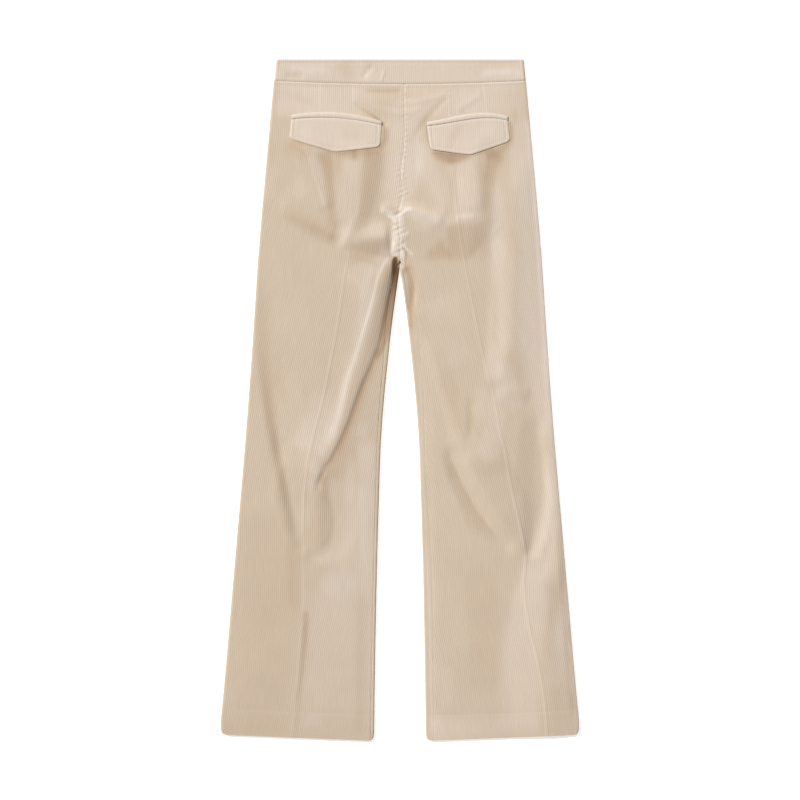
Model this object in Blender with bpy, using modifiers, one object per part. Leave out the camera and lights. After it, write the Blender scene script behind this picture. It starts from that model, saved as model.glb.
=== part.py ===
"""Corduroy trousers lying flat on a table, back side up, one object for each sewn piece.

The model is in metres. +X runs across to the wearer's right, +Y up the garment to the waist and
+Z up off the table, and the origin is on the table under the middle of the garment. The tables
are in millimetres: `across` is measured from the centre line, `down` from the top edge of the
waistband. The cloth is a wall of even thickness round its middle surface: the front lies flat
on the table, the back lies on it with a little air between, and both roll round the legs' edges.
"""

from collections import namedtuple

import bmesh
import bpy
import numpy as np

MM = 0.001

# Driving sizes
LENGTH = 1.080  # top of the waistband to the lowest point of the hems
CLOTH = 0.0015  # corduroy of the legs
BAND_CLOTH = 0.0022  # waistband: two layers with interfacing
WELT_CLOTH = 0.0016
FLAP_CLOTH = 0.0020
SEAM_GAP = 0.0003  # between pieces that are sewn together, or that lie on each other
WAIST_SEAM_DOWN = 0.0390  # at the centre back
WAIST_SEAM_RISE = 0.0052  # how much higher the seam is at the sides
WAIST_HALF = 0.1964
FORK_DOWN = 0.3310  # where the inner legs part
FORK_TUCK = 0.0140  # length over which the seat's flat edges curl up to the fork
HEM_SLANT = 0.0400  # rise of the hem towards the side seam, per metre
HEM_LOW_ACROSS = 0.0500  # the hem is lowest here
HEM_CORNER = 0.0100  # radius

# How the cloth lies
ROLL = 0.0024  # reach of the rolled edge
EDGE_AIR = 0.0020  # between the walls beside the rolled edges and at the hems
WAIST_AIR = 0.0028
BAND_AIR = 0.0020
LOFT = 0.0050  # further air in the middle of the cloth
LOFT_REACH = 0.0550
LOFT_SHAPE = 1.3
WAIST_PRESS = 0.0450  # how far from the waistband the seam holds the cloth down
HEM_PRESS = 0.0600
WAIST_AIR_REACH = 0.0600
LEAST_AIR = 0.0004
AIR_SOFTNESS = 0.0006
FOLD_FREE_EDGE = 0.0140  # folds die out this close to an edge
CREASE_RISE = 0.0010
CREASE_HALF_WIDTH = 0.0050
CREASE_TOP = 0.2150
CREASE_FADE = 0.0400

# The mesh
OUTER_COLUMNS = 7  # from the side seam to the pressed crease
MIDDLE_COLUMNS = 5  # from the crease to the leg's drag line
INNER_COLUMNS = 6
FRONT_FLAT_COLUMNS = 3
BAND_COLUMNS = 14
WAIST_BEND = 0.1600  # rows above this are bent to the waist seam
HEM_BEND = 0.9500  # and rows below this to the hem
RowStretch = namedtuple("RowStretch", "start end back_rows front_rows")
ROW_STRETCHES = (
    RowStretch(WAIST_SEAM_DOWN, FORK_DOWN - FORK_TUCK, 22, 11),
    RowStretch(FORK_DOWN - FORK_TUCK, FORK_DOWN, 1, 1),
    RowStretch(FORK_DOWN, 0.800, 30, 15),
    RowStretch(0.800, LENGTH - 2 * HEM_CORNER, 8, 4),
    RowStretch(LENGTH - 2 * HEM_CORNER, LENGTH, 3, 3),
)
SEAMED_EDGE = ((0, 0), (0, 0.35), (0.3, 0.8), (1, 1))  # quarter roll: share of reach, of height
INNER_ROLL = ((1, -1), (0.25, -0.75), (0, 0), (0.25, 0.75), (1, 1))  # from under to on top

# Fly zip and waist hook, hidden between front and back
ZIP_DOWN = (0.042, 0.215)
ZIP_TAPE = (0.026, 0.0008)  # width, thickness
ZIP_CHAIN = (0.0050, 0.0014)
ZIP_SLIDER = (0.0080, 0.0110, 0.0022)
ZIP_SLIDER_DOWN = 0.068
ZIP_TAPE_END = 0.002  # tape beyond each end of the chain
HOOK_SIZE = (0.0200, 0.0100, 0.0011)
HOOK_DOWN = 0.018

Station = namedtuple("Station", "down across")
SIDE_SEAM = (
    Station(0, 196.4),
    Station(65, 202.7),
    Station(192, 214.7),
    Station(318, 225.3),
    Station(445, 233.7),
    Station(572, 242.9),
    Station(762, 259.1),
    Station(1058, 284.6),
)
INNER_LEG = (
    Station(331, 0),
    Station(382, 7.3),
    Station(413, 11.4),
    Station(477, 18.6),
    Station(540, 24.9),
    Station(603, 29.5),
    Station(698, 32.9),
    Station(920, 38.3),
    Station(1080, 40.6),
)
CENTRE_BACK = (
    Station(39, 7),
    Station(136, 7),
    Station(184, 2),
    Station(210, 4.5),
    Station(243, -2),
    Station(291, 0),
)

# The pressed creases, and above them the line that shares out the columns
CREASE = {
    "left": (
        Station(39, -90),
        Station(215, -63),
        Station(287, -76),
        Station(421, -98),
        Station(556, -126),
        Station(683, -149),
        Station(880, -150),
        Station(960, -161),
        Station(1080, -178),
    ),
    "right": (
        Station(39, 95),
        Station(200, 91),
        Station(342, 111),
        Station(477, 139),
        Station(635, 175),
        Station(746, 198),
        Station(896, 210),
        Station(1080, 237),
    ),
}
# The longest fold down each leg, which has a column of its own so that it stays crisp
DRAG_LINE = {
    "left": (
        Station(39, -45),
        Station(215, -36),
        Station(300, -19),
        Station(341, -31),
        Station(378, -44),
        Station(421, -55),
        Station(461, -69),
        Station(540, -95),
        Station(588, -106),
        Station(638, -123),
        Station(683, -130),
        Station(760, -114),
        Station(880, -98),
        Station(1080, -112),
    ),
    "right": (
        Station(39, 50),
        Station(215, 46),
        Station(331, 34),
        Station(400, 34),
        Station(445, 41),
        Station(540, 76),
        Station(603, 92),
        Station(698, 112),
        Station(746, 136),
        Station(830, 142),
        Station(1080, 142),
    ),
}
# How far the front reaches round the inner leg on to the back, up to the inseam
INSEAM_STRIP = {
    "left": (Station(331, 3), Station(360, 6), Station(500, 4), Station(1080, 3)),
    "right": (
        Station(331, 3),
        Station(360, 9.5),
        Station(508, 11),
        Station(640, 6.5),
        Station(762, 11),
        Station(1080, 11),
    ),
}

# A fold is a ridge, or a trough where rise is negative, along a smooth path. right_hand and
# left_hand are its half widths on each side of someone who walks the path, and it fades in
# and out over `fade` at its ends.
Fold = namedtuple("Fold", "name rise right_hand left_hand fade path")
FOLDS = (
    Fold("left thigh drag fold", 8.5, 36, 11, 55, (
        (-14, 300), (-31, 341), (-44, 378), (-55, 421), (-69, 461), (-95, 540), (-106, 588),
        (-123, 638), (-133, 680))),
    Fold("left crotch fold", 5.5, 20, 10, 45, ((-15, 298), (-31, 341), (-44, 378), (-57, 425))),
    Fold("left thigh valley", -3, 7, 11, 40, (
        (-14, 318), (-24, 350), (-31, 400), (-44, 464), (-60, 502), (-74, 532), (-98, 591),
        (-125, 652))),
    Fold("left knee inner trough", -3, 13, 14, 25, (
        (-118, 660), (-110, 690), (-106, 730), (-112, 762), (-130, 780))),
    Fold("left calf swell", 3, 26, 26, 80, ((-72, 620), (-80, 698), (-79, 760), (-95, 880))),
    Fold("left knee outer trough", -3, 14, 12, 60, (
        (-207, 530), (-206, 572), (-198, 619), (-190, 683), (-180, 746), (-168, 880))),
    Fold("left knee swell", 2.5, 22, 22, 30, ((-180, 612), (-150, 618), (-120, 600))),
    Fold("left seat ridge", 4.5, 13, 14, 30, ((-85, 150), (-86, 223), (-92, 271), (-104, 312))),
    Fold("left seat trough", -3, 9, 9, 30, ((-106, 145), (-107, 215), (-106, 290))),
    Fold("left seat outer ridge", 2.5, 12, 10, 20, ((-153, 135), (-139, 168), (-121, 226))),
    Fold("left seat inner trough", -2.5, 10, 10, 30, ((-44, 150), (-47, 200), (-66, 275))),
    Fold("left seat hang", 5.5, 13, 26, 25, ((-82, 304), (-55, 296), (-30, 284), (-12, 266))),
    Fold("left crotch wing", 3, 10, 12, 12, ((-42, 238), (-22, 240), (-8, 252))),
    Fold("right crotch wing", 3.5, 10, 15, 18, ((6, 250), (22, 238), (51, 242), (76, 264))),
    Fold("right seat bag", 5, 26, 10, 35, ((98, 150), (105, 207), (115, 268))),
    Fold("right seat trough", -3, 10, 12, 40, ((137, 150), (141, 215), (138, 310))),
    Fold("right seat hang", 5, 14, 28, 25, ((44, 306), (70, 304), (111, 300), (146, 268))),
    Fold("right thigh swell", 4, 17, 20, 60, ((166, 230), (158, 290), (155, 382), (138, 545))),
    Fold("right side trough", -2, 15, 14, 60, ((190, 290), (194, 461), (212, 610))),
    Fold("right shin ridge", 4.5, 15, 20, 60, ((230, 520), (232, 698), (222, 778), (200, 840))),
    Fold("right knee outer trough", -3.5, 10, 12, 40, (
        (192, 630), (197, 698), (203, 746), (206, 795))),
    Fold("right drag ridge", 3.5, 10, 24, 60, (
        (18, 400), (40, 445), (76, 540), (92, 603), (111, 698), (146, 750))),
    Fold("right knee trough", -3.5, 12, 10, 35, (
        (70, 596), (87, 659), (108, 698), (135, 741), (166, 776))),
    Fold("right knee swell", 2.5, 20, 20, 25, ((118, 606), (140, 616), (160, 606))),
)

# A pocket flap is set by its four corners, how far its top edge arches up, how far its lower
# edge reaches down to its point, and how far that edge stands off the seat at each end.
PocketFlap = namedtuple(
    "PocketFlap", "top_left top_right low_left low_right arch point gape_left gape_right"
)
FLAPS = {
    "left": PocketFlap((-171.5, 95), (-31, 104), (-173, 125), (-36, 139), 6.5, 15.5, 1.2, 1.6),
    "right": PocketFlap((42, 105), (169, 97), (47, 142), (173, 129), 4, 15, 2.6, 1.2),
}
FLAP_COLUMNS = 14
FLAP_ROWS = 4
FLAP_CORNER = 0.0040
FLAP_POINT_SOFTNESS = 0.12
WELT_HEIGHT = (5.0, 4.0)  # at its ends, and how much more in its middle
LAY_GAP = 0.0004  # a piece that lies on the seat stands this far off it

CORDUROY = ("corduroy", (0.68, 0.56, 0.43, 1), 0.9, 0.0)
ZIP_METAL = ("zip and hook", (0.62, 0.60, 0.56, 1), 0.35, 1.0)


def ramp(value, start, end):
    """0 before start, 1 after end, and a smooth step between."""
    share = np.clip((value - start) / (end - start), 0, 1)
    return share * share * (3 - 2 * share)


def hermite(knots, values, at):
    """A smooth curve through values at knots; its slopes come from the neighbouring points."""
    slopes = np.gradient(values, knots, axis=0)
    low = np.clip(np.searchsorted(knots, at) - 1, 0, len(knots) - 2)
    span = knots[low + 1] - knots[low]
    share = np.clip((at - knots[low]) / span, 0, 1)
    if values.ndim == 2:
        share, span = share[:, None], span[:, None]
    rest = 1 - share
    ends = values[low] * (1 + 2 * share) * rest**2 + values[low + 1] * (3 - 2 * share) * share**2
    bend = slopes[low] * share * rest**2 - slopes[low + 1] * share**2 * rest
    return ends + bend * span


def read_table(stations, down):
    """The across value of a table at each down, in metres."""
    knots, values = np.array(stations, float).T * MM
    return hermite(knots, values, np.asarray(down, float))


def smooth_path(points, steps=6):
    """Points along a smooth curve through a fold's path, in metres."""
    points = np.array(points, float) * MM
    lengths = np.linalg.norm(np.diff(points, axis=0), axis=1)
    knots = np.concatenate([[0], np.cumsum(lengths)])
    return hermite(knots, points, np.linspace(0, knots[-1], steps * len(lengths) + 1))


def side_reach(down):
    return read_table(SIDE_SEAM, down)


def fork_reach(down):
    """Half the gap between the legs, and 0 above the fork."""
    return np.where(down > FORK_DOWN, read_table(INNER_LEG, down), 0)


def waist_seam_down(across):
    return WAIST_SEAM_DOWN - WAIST_SEAM_RISE * (across / WAIST_HALF) ** 2


def hem_down(across):
    return LENGTH - HEM_SLANT * np.maximum(np.abs(across) - HEM_LOW_ACROSS, 0)


def fold_height(fold, across, down):
    """Height that one fold adds: a bell curve across its path, faded out at its ends."""
    path = smooth_path(fold.path)
    starts, steps = path[:-1], np.diff(path, axis=0)
    lengths = np.linalg.norm(steps, axis=1)
    passed = np.concatenate([[0], np.cumsum(lengths)])
    offset = np.stack([across, down], axis=-1)[..., None, :] - starts
    share = np.clip((offset * steps).sum(-1) / lengths**2, 0, 1)
    distance = np.linalg.norm(offset - share[..., None] * steps, axis=-1)
    nearest = distance.argmin(axis=-1)[..., None]
    distance = np.take_along_axis(distance, nearest, -1)[..., 0]
    turn = steps[:, 0] * offset[..., 1] - steps[:, 1] * offset[..., 0]
    on_right = np.take_along_axis(turn, nearest, -1)[..., 0] > 0
    along = np.take_along_axis(passed[:-1] + share * lengths, nearest, -1)[..., 0]
    fade = fold.fade * MM
    ends = ramp(along, 0, fade) * ramp(passed[-1] - along, 0, fade)
    width = np.where(on_right, fold.right_hand, fold.left_hand) * MM
    return fold.rise * MM * ends * np.exp(-((distance / width) ** 2))


def crease_height(across, down):
    """The pressed ridge down the middle of each leg."""
    crease = np.where(across < 0, read_table(CREASE["left"], down), read_table(CREASE["right"], down))
    ridge = np.exp(-(((across - crease) / CREASE_HALF_WIDTH) ** 2))
    return CREASE_RISE * ridge * ramp(down, CREASE_TOP, CREASE_TOP + CREASE_FADE)


def edge_distance(across, down):
    """Distance to the nearest rolled edge: the side seam, the inner leg or the fork."""
    side = side_reach(down) - np.abs(across)
    leg = np.abs(across) - fork_reach(down)
    fork = np.hypot(across, FORK_DOWN - down)
    return np.clip(np.minimum(side, np.where(down > FORK_DOWN, leg, fork)), 0, None)


def back_height(across, down):
    """Height of the middle of the back cloth: the walls' thickness, the air and the folds."""
    edge = edge_distance(across, down)
    below_waist = np.clip(down - waist_seam_down(across), 0, None)
    above_hem = np.clip(LENGTH - down, 0, None)
    loft = LOFT * (1 - np.exp(-((edge / LOFT_REACH) ** LOFT_SHAPE)))
    loft = loft * (1 - np.exp(-below_waist / WAIST_PRESS)) * (1 - np.exp(-above_hem / HEM_PRESS))
    waist_air = (WAIST_AIR - EDGE_AIR) * np.exp(-below_waist / WAIST_AIR_REACH)
    folds = crease_height(across, down) + sum(fold_height(f, across, down) for f in FOLDS)
    air = EDGE_AIR + waist_air + loft + folds * ramp(edge, 0, FOLD_FREE_EDGE)
    air = LEAST_AIR + AIR_SOFTNESS * np.logaddexp(0, (air - LEAST_AIR) / AIR_SOFTNESS)
    return 1.5 * CLOTH + air


def row_positions(counted):
    """Nominal down of each row of a leg panel, from the waist seam to the hem."""
    parts = [[WAIST_SEAM_DOWN]]
    for stretch in ROW_STRETCHES:
        parts.append(np.linspace(stretch.start, stretch.end, getattr(stretch, counted) + 1)[1:])
    return np.concatenate(parts)


def fit_rows(across, down):
    """Bend nominal rows so that the first follows the waist seam and the last the hem."""
    top = waist_seam_down(across) + SEAM_GAP / 2 - WAIST_SEAM_DOWN
    low = hem_down(across) - LENGTH
    near_waist = 1 - ramp(down, WAIST_SEAM_DOWN, WAIST_BEND)
    return down + top * near_waist + low * ramp(down, HEM_BEND, LENGTH)


def round_hem_corner(outward, down, edge, sign):
    """Draw the square corner between a leg's edge and its hem on to an arc."""
    from_edge = (edge - outward) * sign
    from_hem = hem_down(outward) - down
    near = (from_edge < HEM_CORNER) & (from_hem < HEM_CORNER)
    p = np.where(near, 1 - from_edge / HEM_CORNER, 0)
    q = np.where(near, 1 - from_hem / HEM_CORNER, 0)
    shift_p = p * (np.sqrt(1 - q**2 / 2) - 1) * HEM_CORNER
    shift_q = q * (np.sqrt(1 - p**2 / 2) - 1) * HEM_CORNER
    return outward + shift_p * sign, down + shift_q


def spread(start, end, count):
    """count points from start, whole rows at a time, ending before end."""
    share = np.arange(count) / count
    return start[:, None] + (end - start)[:, None] * share


def leg_rows(down):
    """Where each row turns at its edges: outer edge, inner edge, middle of the wall."""
    outer = side_reach(down) - CLOTH / 2
    inner = np.maximum(fork_reach(down), SEAM_GAP / 2) + CLOTH / 2
    return outer, inner


def to_frame(side, outward, down, height):
    """Grid points in the model's frame; outward runs away from the centre line."""
    return np.stack([side * outward, LENGTH / 2 - down, height], axis=-1)


def back_panel(name, side):
    """Back leg: side seam roll, flat stretches to the crease, the drag line and the inseam."""
    rows = row_positions("back_rows")
    outer, inner = leg_rows(rows)
    reach, lift = np.array(SEAMED_EDGE).T
    seat = side * read_table(CENTRE_BACK, rows) + SEAM_GAP / 2
    legs = inner + ROLL + read_table(INSEAM_STRIP[name], rows) + SEAM_GAP
    end = np.where(rows < FORK_DOWN - SEAM_GAP, seat, legs)
    crease = side * read_table(CREASE[name], rows)
    drag = side * read_table(DRAG_LINE[name], rows)
    outward = np.concatenate([
        outer[:, None] - ROLL * reach[:-1],
        spread(outer - ROLL, crease, OUTER_COLUMNS),
        spread(crease, drag, MIDDLE_COLUMNS),
        spread(drag, end, INNER_COLUMNS),
        end[:, None],
    ], axis=1)
    down = fit_rows(side * outward, np.broadcast_to(rows[:, None], outward.shape))
    height = back_height(side * outward, down)
    seamed = height[:, : len(lift)]
    seam = (seamed + CLOTH / 2) / 2 + SEAM_GAP / 2
    height[:, : len(lift)] = seam + (seamed - seam) * lift
    outward, down = round_hem_corner(outward, down, side_reach(down), 1)
    outward, down = round_hem_corner(outward, down, fork_reach(down), -1)
    return to_frame(side, outward, down, height)


def front_panel(name, side):
    """Front leg: flat on the table, rolled up at the side seam and round the inner leg."""
    rows = row_positions("front_rows")
    outer, inner = leg_rows(rows)
    reach, lift = np.array(SEAMED_EDGE).T
    turn, climb = np.array(INNER_ROLL).T
    strip = read_table(INSEAM_STRIP[name], rows)
    in_seat = (rows < FORK_DOWN - SEAM_GAP)[:, None]
    last_flat = SEAM_GAP / 2 + ROLL * np.arange(len(turn), -1, -1) / 2
    round_leg = np.concatenate(
        [inner[:, None] + ROLL * turn, (inner + ROLL + strip)[:, None]], axis=1
    )
    end = np.where(in_seat, last_flat, round_leg)
    outward = np.concatenate([
        outer[:, None] - ROLL * reach[:-1],
        spread(outer - ROLL, end[:, 0], FRONT_FLAT_COLUMNS),
        end,
    ], axis=1)
    down = fit_rows(side * outward, np.broadcast_to(rows[:, None], outward.shape))
    top = back_height(side * outward, down)
    bottom = CLOTH / 2
    height = np.full_like(top, bottom)
    seam = (top[:, : len(lift)] + bottom) / 2 - SEAM_GAP / 2
    height[:, : len(lift)] = seam + (bottom - seam) * lift
    rolled = len(climb) + 1
    middle = (top[:, -rolled:] + bottom) / 2
    curl = middle + (top[:, -rolled:] - middle) * np.append(climb, 1)
    height[:, -rolled:] = np.where(in_seat, bottom, curl)
    outward, down = round_hem_corner(outward, down, side_reach(down), 1)
    outward, down = round_hem_corner(outward, down, fork_reach(down), -1)
    return to_frame(side, outward, down, height)


def band_rows(across):
    """Down of the waistband's three rows at each across."""
    return np.linspace(0, 1, 3)[:, None] * (waist_seam_down(across) - SEAM_GAP / 2)


def waistband_back():
    """The back of the waistband, from side seam to side seam."""
    reach, lift = np.array(SEAMED_EDGE).T
    edge = WAIST_HALF - ROLL * reach
    middle = np.linspace(-1, 1, BAND_COLUMNS + 1)[1:-1] * edge[-1]
    across = np.concatenate([-edge, middle, edge[::-1]])
    share = np.concatenate([lift, np.ones(len(middle)), lift[::-1]])
    down = band_rows(across)
    # The band leans out with the side seams, so its edge follows them down.
    across = across * (side_reach(down) - BAND_CLOTH / 2) / WAIST_HALF
    top = 1.5 * BAND_CLOTH + BAND_AIR
    seam = (top + BAND_CLOTH / 2) / 2 + SEAM_GAP / 2
    height = np.broadcast_to(seam + (top - seam) * share, across.shape)
    return to_frame(1, across, down, height)


def waistband_front(side):
    """One front half of the waistband, flat on the table, from side seam to centre front."""
    reach, lift = np.array(SEAMED_EDGE).T
    edge = WAIST_HALF - ROLL * reach
    middle = np.linspace(edge[-1], 0, BAND_COLUMNS // 2 + 1)[1:]
    outward = np.concatenate([edge, middle])
    share = np.concatenate([lift, np.ones(len(middle))])
    down = band_rows(outward)
    outward = outward * (side_reach(down) - BAND_CLOTH / 2) / WAIST_HALF
    outward[:, -1] = SEAM_GAP / 2
    bottom = BAND_CLOTH / 2
    top = 1.5 * BAND_CLOTH + BAND_AIR
    seam = (top + bottom) / 2 - SEAM_GAP / 2
    height = np.broadcast_to(seam + (bottom - seam) * share, outward.shape)
    return to_frame(side, outward, down, height)


def flap_edges(flap, share):
    """Top and lower edge of a flap, share running from its left end to its right."""
    corners = [np.array(corner) * MM for corner in flap[:4]]
    top_left, top_right, low_left, low_right = corners
    share = share[:, None]
    top = top_left + (top_right - top_left) * share
    low = low_left + (low_right - low_left) * share
    top[:, 1:] -= flap.arch * MM * 4 * share * (1 - share)
    off_middle = np.sqrt((2 * share - 1) ** 2 + FLAP_POINT_SOFTNESS**2)
    low[:, 1:] += flap.point * MM * (1 - off_middle)
    return top, low


def laid_on_seat(plan, thickness, stand_off):
    """Heights for a piece that lies on the seat, over the back cloth's own heights."""
    seat = back_height(plan[..., 0], plan[..., 1])
    return seat + CLOTH / 2 + LAY_GAP + thickness / 2 + stand_off


def pocket_flap(name):
    """A pointed flap: its top edge is sewn down and its lower edge stands off the seat."""
    flap = FLAPS[name]
    share = np.linspace(0, 1, FLAP_COLUMNS + 1)
    top, low = flap_edges(flap, share)
    drop = np.linspace(0, 1, FLAP_ROWS + 1)[:, None]
    plan = top + (low - top) * drop[..., None]
    # The lower corners are drawn in to round them.
    plan[-1, 0] += (FLAP_CORNER / 2, -FLAP_CORNER / 2)
    plan[-1, -1] += (-FLAP_CORNER / 2, -FLAP_CORNER / 2)
    gape = (flap.gape_left + (flap.gape_right - flap.gape_left) * share) * MM
    height = laid_on_seat(plan, FLAP_CLOTH, gape * drop**1.5)
    return to_frame(1, plan[..., 0], plan[..., 1], height)


def pocket_welt(name):
    """The narrow strip above a flap, which closes the pocket's slit."""
    share = np.linspace(0, 1, FLAP_COLUMNS + 1)
    seam, _ = flap_edges(FLAPS[name], share)
    ends, more = WELT_HEIGHT
    tall = (ends + more * np.sin(np.pi * share)) * MM
    upper = seam - np.stack([np.zeros_like(tall), tall + SEAM_GAP], axis=-1)
    lower = seam - (0, SEAM_GAP)
    plan = np.stack([upper, lower])
    height = laid_on_seat(plan, WELT_CLOTH, 0)
    return to_frame(1, plan[..., 0], plan[..., 1], height)


def material(spec):
    """A Principled BSDF material, made once for each name."""
    name, colour, roughness, metallic = spec
    made = bpy.data.materials.get(name)
    if made is None:
        made = bpy.data.materials.new(name)
        made.use_nodes = True
        shader = made.node_tree.nodes["Principled BSDF"]
        shader.inputs["Base Color"].default_value = colour
        shader.inputs["Roughness"].default_value = roughness
        shader.inputs["Metallic"].default_value = metallic
    return made


def add_object(name, mesh_maker, spec, collection):
    """An object in the collection, with its mesh finished and its material on."""
    data = bpy.data.meshes.new(name)
    mesh_maker.to_mesh(data)
    mesh_maker.free()
    data.materials.append(material(spec))
    piece = bpy.data.objects.new(name, data)
    collection.objects.link(piece)
    return piece


def add_wall(name, points, thickness, collection):
    """Cloth: a grid whose points lie on the middle surface, thickened to both sides."""
    rows, columns = points.shape[:2]
    sheet = bmesh.new()
    bmesh.ops.create_grid(sheet, x_segments=columns - 1, y_segments=rows - 1, size=1)
    for vertex, place in zip(sheet.verts, points.reshape(-1, 3)):
        vertex.co = place
    bmesh.ops.recalc_face_normals(sheet, faces=sheet.faces)
    piece = add_object(name, sheet, CORDUROY, collection)
    piece.data.shade_smooth()
    wall = piece.modifiers.new("cloth", "SOLIDIFY")
    wall.thickness = thickness
    wall.offset = 0
    return piece


def add_box(name, size, centre, spec, collection):
    """A small rectangular block."""
    block = bmesh.new()
    bmesh.ops.create_cube(block, size=1)
    bmesh.ops.scale(block, verts=block.verts, vec=size)
    piece = add_object(name, block, spec, collection)
    piece.location = centre
    return piece


def add_fly_zip(collection, helpers):
    """A closed zip: its tape on the fronts' inner side, with the chain and slider joined on."""
    start, end = ZIP_DOWN
    length = end - start
    middle = LENGTH / 2 - (start + end) / 2
    floor = CLOTH + SEAM_GAP
    width, thick = ZIP_TAPE
    zip_tape = add_box(
        "fly_zip", (width, length, thick), (0, middle, floor + thick / 2), ZIP_METAL, collection
    )
    chain_width, chain_height = ZIP_CHAIN
    raised = [(
        "zip_chain",
        (chain_width, length - 2 * ZIP_TAPE_END, chain_height - thick / 2),
        (0, middle, floor + (chain_height + thick / 2) / 2),
    )]
    slider_height = ZIP_SLIDER[2]
    raised.append((
        "zip_slider",
        (*ZIP_SLIDER[:2], slider_height - thick / 4),
        (0, LENGTH / 2 - ZIP_SLIDER_DOWN, floor + (slider_height + thick / 4) / 2),
    ))
    for name, size, centre in raised:
        helper = add_box(name, size, centre, ZIP_METAL, helpers)
        helper.hide_render = True
        helper.display_type = "WIRE"
        join = zip_tape.modifiers.new(name, "BOOLEAN")
        join.operation = "UNION"
        join.object = helper
    return zip_tape


def add_waist_hook(collection):
    """The hook and its bar, fastened, on the inner side of the waistband's front."""
    height = BAND_CLOTH + SEAM_GAP + HOOK_SIZE[2] / 2
    return add_box(
        "waist_hook", HOOK_SIZE, (0, LENGTH / 2 - HOOK_DOWN, height), ZIP_METAL, collection
    )


def main():
    for old in list(bpy.data.objects):
        bpy.data.objects.remove(old)
    trousers = bpy.data.collections.new("corduroy_trousers")
    helpers = bpy.data.collections.new("helpers")
    for collection in (trousers, helpers):
        bpy.context.scene.collection.children.link(collection)
    for name, side in (("left", -1), ("right", 1)):
        add_wall(f"back_{name}", back_panel(name, side), CLOTH, trousers)
        add_wall(f"front_{name}", front_panel(name, side), CLOTH, trousers)
        add_wall(f"waistband_front_{name}", waistband_front(side), BAND_CLOTH, trousers)
        add_wall(f"welt_{name}", pocket_welt(name), WELT_CLOTH, trousers)
        add_wall(f"flap_{name}", pocket_flap(name), FLAP_CLOTH, trousers)
    add_wall("waistband_back", waistband_back(), BAND_CLOTH, trousers)
    add_fly_zip(trousers, helpers)
    add_waist_hook(trousers)


main()
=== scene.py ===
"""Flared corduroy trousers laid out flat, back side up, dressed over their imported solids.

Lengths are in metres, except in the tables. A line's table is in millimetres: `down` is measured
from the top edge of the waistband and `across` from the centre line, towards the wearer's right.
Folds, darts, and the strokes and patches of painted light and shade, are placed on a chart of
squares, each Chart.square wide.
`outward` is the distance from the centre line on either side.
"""

import logging
import math
from dataclasses import dataclass, field
from enum import Enum

import bpy
import numpy as np
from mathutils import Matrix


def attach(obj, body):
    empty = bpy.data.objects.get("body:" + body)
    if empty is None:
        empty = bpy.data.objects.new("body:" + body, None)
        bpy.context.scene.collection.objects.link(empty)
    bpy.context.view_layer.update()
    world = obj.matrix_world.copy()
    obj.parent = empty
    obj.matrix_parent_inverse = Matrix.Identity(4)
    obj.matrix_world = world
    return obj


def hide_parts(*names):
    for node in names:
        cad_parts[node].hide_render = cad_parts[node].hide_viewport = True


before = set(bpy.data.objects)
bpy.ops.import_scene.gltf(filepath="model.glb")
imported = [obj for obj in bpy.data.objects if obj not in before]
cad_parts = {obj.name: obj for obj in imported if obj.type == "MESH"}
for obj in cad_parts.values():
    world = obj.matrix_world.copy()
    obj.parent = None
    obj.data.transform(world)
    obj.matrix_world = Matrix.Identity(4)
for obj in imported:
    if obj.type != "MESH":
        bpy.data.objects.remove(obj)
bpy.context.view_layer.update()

MM = 0.001
LOG = logging.getLogger("trousers")
Array = np.ndarray
Material = bpy.types.Material
Socket = bpy.types.NodeSocket
Pair = tuple[float, float]
Vector = tuple[float, float, float]
Colour = tuple[float, float, float, float]
Stations = tuple[tuple[float, ...], ...]


class Side(Enum):
    """A leg, with the sign of its across values; left is the wearer's left."""

    LEFT = -1
    RIGHT = 1

    @property
    def tag(self) -> str:
        """The word used in names."""
        return self.name.lower()


class Profile(Enum):
    """How a fold's height falls off from its line."""

    BELL = "bell"
    TENT = "tent"
    ROLL = "roll"
    PATCH = "patch"


def ramp(value: Array, start: float, end: float) -> Array:
    """0 before start, 1 after end, and a smooth step between.

    Args:
        value: Where to read the step.
        start: Last place where it is 0.
        end: First place where it is 1.

    Returns:
        The step, 3s^2 - 2s^3 of the share s passed.
    """
    share = np.clip((np.asarray(value, float) - start) / (end - start), 0, 1)
    return share * share * (3 - 2 * share)


def hermite(knots: Array, values: Array, at: Array) -> Array:
    """A smooth curve through values at knots, whose slopes come from neighbouring points.

    Args:
        knots: Rising places of the values.
        values: One value, or one row of values, for each knot.
        at: Places to read.

    Returns:
        The curve's values: cubic Hermite pieces between knots.
    """
    slopes = np.gradient(values, knots, axis=0)
    low = np.clip(np.searchsorted(knots, at) - 1, 0, len(knots) - 2)
    span = knots[low + 1] - knots[low]
    share = np.clip((at - knots[low]) / span, 0, 1)
    if values.ndim == 2:
        share, span = share[:, None], span[:, None]
    rest = 1 - share
    ends = values[low] * (1 + 2 * share) * rest**2 + values[low + 1] * (3 - 2 * share) * share**2
    bend = slopes[low] * share * rest**2 - slopes[low + 1] * share**2 * rest
    return ends + bend * span


@dataclass(frozen=True)
class Bell:
    """A rise or a dip round a place: rise * exp(-|(distance - at) / width| ^ power)."""

    rise: float
    width: float
    at: float = 0.0
    power: float = 2

    def over(self, distance: Array) -> Array:
        """Its value at each distance."""
        return self.rise * np.exp(-(((distance - self.at) / self.width) ** self.power))


@dataclass(frozen=True)
class Line:
    """A line down the garment, as (down, across) stations in millimetres."""

    stations: Stations

    def at(self, down: Array) -> Array:
        """Its across, or outward, value at each down, in metres."""
        knots, values = np.array(self.stations, float).T * MM
        return hermite(knots, values, np.asarray(down, float))


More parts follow.
